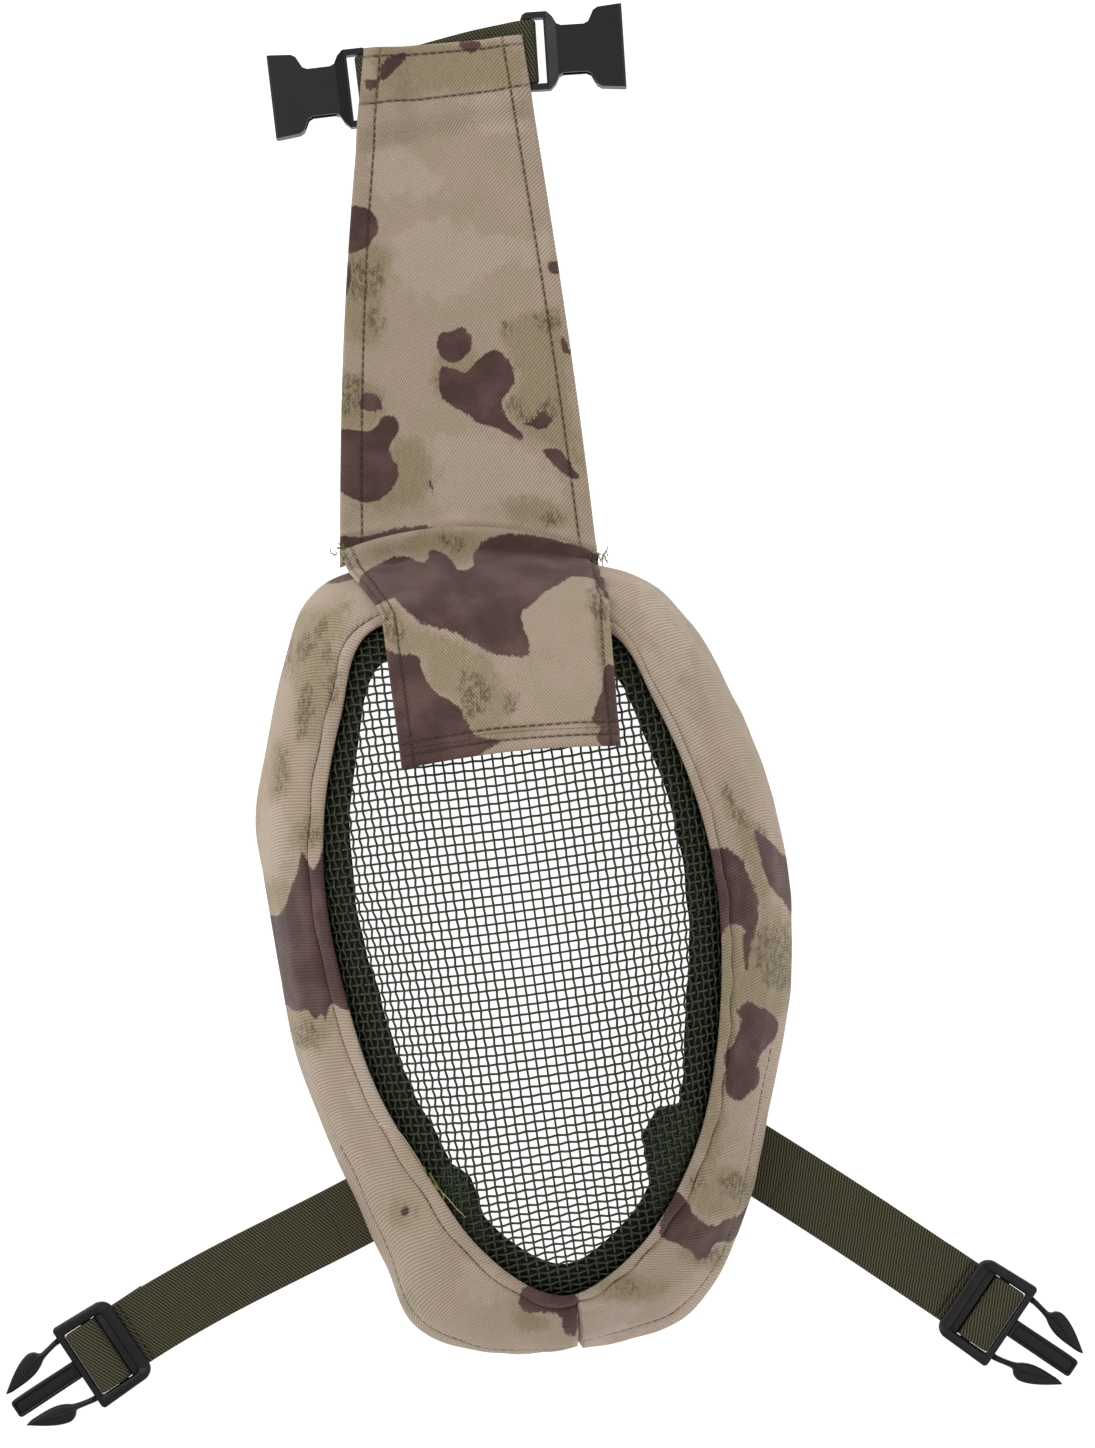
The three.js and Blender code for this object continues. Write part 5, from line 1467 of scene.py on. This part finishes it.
def setAt(rings, side):                            # moves a piece from the buckle's own axes to its place
    place, heading = buckleAt[side]
    return placed(rings.reshape(-1, 3), *place, heading).reshape(rings.shape)


def dense(line):                                    # three points more between each two of a closed line
    between = np.stack([lerp(line, np.roll(line, -1, 0), k) for k in (0, 0.25, 0.5, 0.75)], 1)
    return between.reshape(4 * len(line), -1)


def mirrored(line, hand): return [(s, w * hand) for s, w in line]


b = buckle
for side, strap in straps.items():
    outline = roundedBox(0, b["length"], b["half"], b["backCorner"], b["frontCorner"])
    outline[:, 1] += b["ear"] * np.sign(outline[:, 1]) * np.exp(-((outline[:, 0] - 21.6) / 1.5) ** 2)
    window = roundedBox(b["backBar"], b["length"] - b["frontBar"], b["half"] - b["rail"], 1.6, 0.6)
    s = outline[:, 0]
    under = ease((5 - s) / 2.2)
    low = lerp(b["low"], b["overWebbing"], under)
    high = lerp(b["high"], b["frontHigh"], ease((s - 14) / 6)) - 0.8 * ease((2.2 - s) / 2.2)
    frameHoop = hoop(dense(outline), dense(window), dense(low[:, None])[:, 0], dense(high[:, None])[:, 0],
                     b["soft"])
    lip = [roundedBox(b["length"] + inset, b["prongTip"] - 0.3 - inset * 0.8, b["prongHalf"] - inset, 0.5, r)
           for inset, r in ((0, 1.3), (1.3, 0.6))]
    rim = hoop(*lip, np.full(len(lip[0]), 3), np.full(len(lip[0]), 4.9), 0.55)
    body = f"plug_{side}"
    hoops = skin("maleFrame" + side.title(), [setAt(frameHoop, side), setAt(rim, side)], blackPlastic,
                 closed=True, body=body)
    tongue = [(b["length"] - 1.6, b["prongHalf"]), (26, b["prongHalf"]), (48.2, b["prongHalf"]), (49.4, 3.2),
              (b["prongTip"] - 0.1, 2)]
    crossBar = [(9.4, 13.9), (11.4, 13.9), (13.4, 13.9)]
    apron = [(3.2, 13), (5, 13), (7.5, 13)]     # the back bar's inner slope, in the shade over the webbing
    plates = [plate(tongue, mirrored(tongue, -1), 0.9, 3.7, 0.6),
              plate(apron, mirrored(apron, -1), 3.35, 5.2, 0.5),
              plate(crossBar, mirrored(crossBar, -1), 1.9, 4, 0.6)]
    plates = [setAt(piece, side) for piece in plates]
    prong = skin("maleProng" + side.title(), plates, blackPlastic, body=body)
    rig.replaces(hoops, "male_frame_" + side)
    pieces = [hoops, prong]
    for name, hand in (("upper", strap["hand"]), ("lower", -strap["hand"])):
        arm = plate(mirrored(armOuter, hand), mirrored(armInner, hand), b["armLow"], b["armHigh"], b["soft"])
        fade = np.minimum(1, np.linspace(0.1, 4, 30))
        ridge = evened(through(mirrored(armRidge, hand), 60), count=30)
        ridge = roundLine(np.column_stack([ridge, np.full(30, b["armHigh"] - 0.1)]), b["ridge"],
                          taper=fade * fade[::-1])
        piece = skin(f"maleArm{side.title()}{name.title()}", [setAt(arm, side), setAt(ridge, side)],
                     blackPlastic, body=f"arm_{side}_{name}")
        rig.replaces(piece, f"male_arm_{side}_{name}")
        pieces.append(piece)
    for piece in pieces:
        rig.slot(piece, "buckle_plastic")
for name in ("female_buckle_left", "female_buckle_right"):
    thing = frame["nodes"][name]
    thing.data.materials.clear()
    thing.data.materials.append(blackPlastic)
    bevel = thing.modifiers.new("softEdges", "BEVEL")
    bevel.width, bevel.segments = b["bevel"], 3
    bevel.limit_method, bevel.angle_limit = "ANGLE", math.radians(32)
    bevel.harden_normals = True
print("buckles finished")

# loose threads
def overCover(x, y, lift): return x, y, float(domeZ(np.array(x), np.array(y))) + lift


looseThreads = {
    "looseThreadLong": (0.2, paleThread, [(-60.5, -141, 4.6), (-57, -141.5, 5.2), (-53.5, -142, 4.6),
                                          (-50.5, -144, 3.4), (-48, -147.5, 2.2), (-45, -152, 1.2),
                                          (-42.5, -156, 1.0)]),
    "looseThreadTail": (0.13, paleThread, [(-42.5, -156, 1.0), (-39, -161, 1.1), (-35, -164.5, 1.6),
                                           (-31, -169, 1.0), (-28, -172, 0.9)]),
    "looseThreadKnot": (0.38, greenThread, [(-42.5, -155, 1.0), (-41, -159, 1.6), (-38.5, -162, 1.2),
                                            (-37, -167, 1.3), (-35.5, -165, 1.8), (-38, -161, 1.7),
                                            (-40.5, -157, 1.5)])}
for name, (radius, material, places) in looseThreads.items():
    line = evened(through([overCover(*place) for place in places], 200), step=0.5)
    skin(name, roundLine(line, radius, 6), material, body="mask")
draw = np.random.default_rng(7)
fuzz = []
for cx, cy, cz, spread, count in ((-73.2, 60.2, 3.2, 3.2, 16), (18.8, 59.0, 3.2, 2.6, 14)):
    for _ in range(count):
        at = np.array([cx, cy, cz]) + draw.normal(0, [spread, 1.0, 0.5])
        turn, long = draw.uniform(0, 2 * math.pi), draw.uniform(1.5, 4)
        way = np.array([math.cos(turn), math.sin(turn), draw.uniform(-0.1, 0.4)])
        bow = np.array([-math.sin(turn), math.cos(turn), 0.3]) * draw.uniform(-1, 1)
        fuzz.append(roundLine(through([at, at + way * long * 0.5 + bow, at + way * long], 9), 0.17, 5))
skin("overlockFuzz", fuzz, greenThread, body="mask")
print("threads laid")

# floor, light and camera
studio = {"floor": 6.0, "floorGlow": 1.0, "key": 20, "fill": 6, "sky": 0.38, "lens": 110.57,
          "camera": (0.00036, -0.0013, 1.6)}


def floorLook(tree):
    place = node(tree, "ShaderNodeTexCoord", {}, (), "Object")
    soft = noise(tree, place, 3, 2)
    return {"Base Color": tint(tree, soft, (0.4, 0.4, 0.4), (0.42, 0.42, 0.42))}


paperWhite = finish("paperWhite", floorLook, 0.9, Emission_Color=(1, 1, 1, 1),
                    Emission_Strength=studio["floorGlow"])
floorMesh = bpy.data.meshes.new("floor")
w, sunk = studio["floor"] / 2, -0.0002
floorMesh.from_pydata([(-w, -w, sunk), (w, -w, sunk), (w, w, sunk), (-w, w, sunk)], [], [(0, 1, 2, 3)])
floorMesh.materials.append(paperWhite)
floor = bpy.data.objects.new("floor", floorMesh)
bpy.context.scene.collection.objects.link(floor)
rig.stage(floor)


def areaLight(name, place, size, power):
    lamp = bpy.data.lights.new(name, "AREA")
    lamp.shape, lamp.size, lamp.size_y, lamp.energy = "RECTANGLE", size[0], size[1], power
    thing = bpy.data.objects.new(name, lamp)
    bpy.context.scene.collection.objects.link(thing)
    thing.location = place
    thing.rotation_euler = (-Vector(place)).to_track_quat("-Z", "Y").to_euler()


areaLight("keyLight", (-1.1, 1.0, 1.9), (1.6, 1.2), studio["key"])
areaLight("fillLight", (1.3, -0.6, 1.7), (1.6, 1.6), studio["fill"])
world = bpy.data.worlds.new("studio")
world.use_nodes = True
world.node_tree.nodes["Background"].inputs["Color"].default_value = (1, 1, 1, 1)
world.node_tree.nodes["Background"].inputs["Strength"].default_value = studio["sky"]
bpy.context.scene.world = world
bpy.context.scene.view_settings.view_transform = "Standard"

camera = bpy.data.cameras.new("camera")
camera.type, camera.lens, camera.sensor_width, camera.clip_start = "PERSP", studio["lens"], 36, 0.05
cameraThing = bpy.data.objects.new("camera", camera)
cameraThing.location = studio["camera"]
bpy.context.scene.collection.objects.link(cameraThing)
bpy.context.scene.camera = cameraThing
print("studio set")

bpy.context.view_layer.update()
with open("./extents.json", "w") as out:
    json.dump({"cad": [list(c) for c in cadBox], "visual": [list(c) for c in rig.bounds()]}, out)
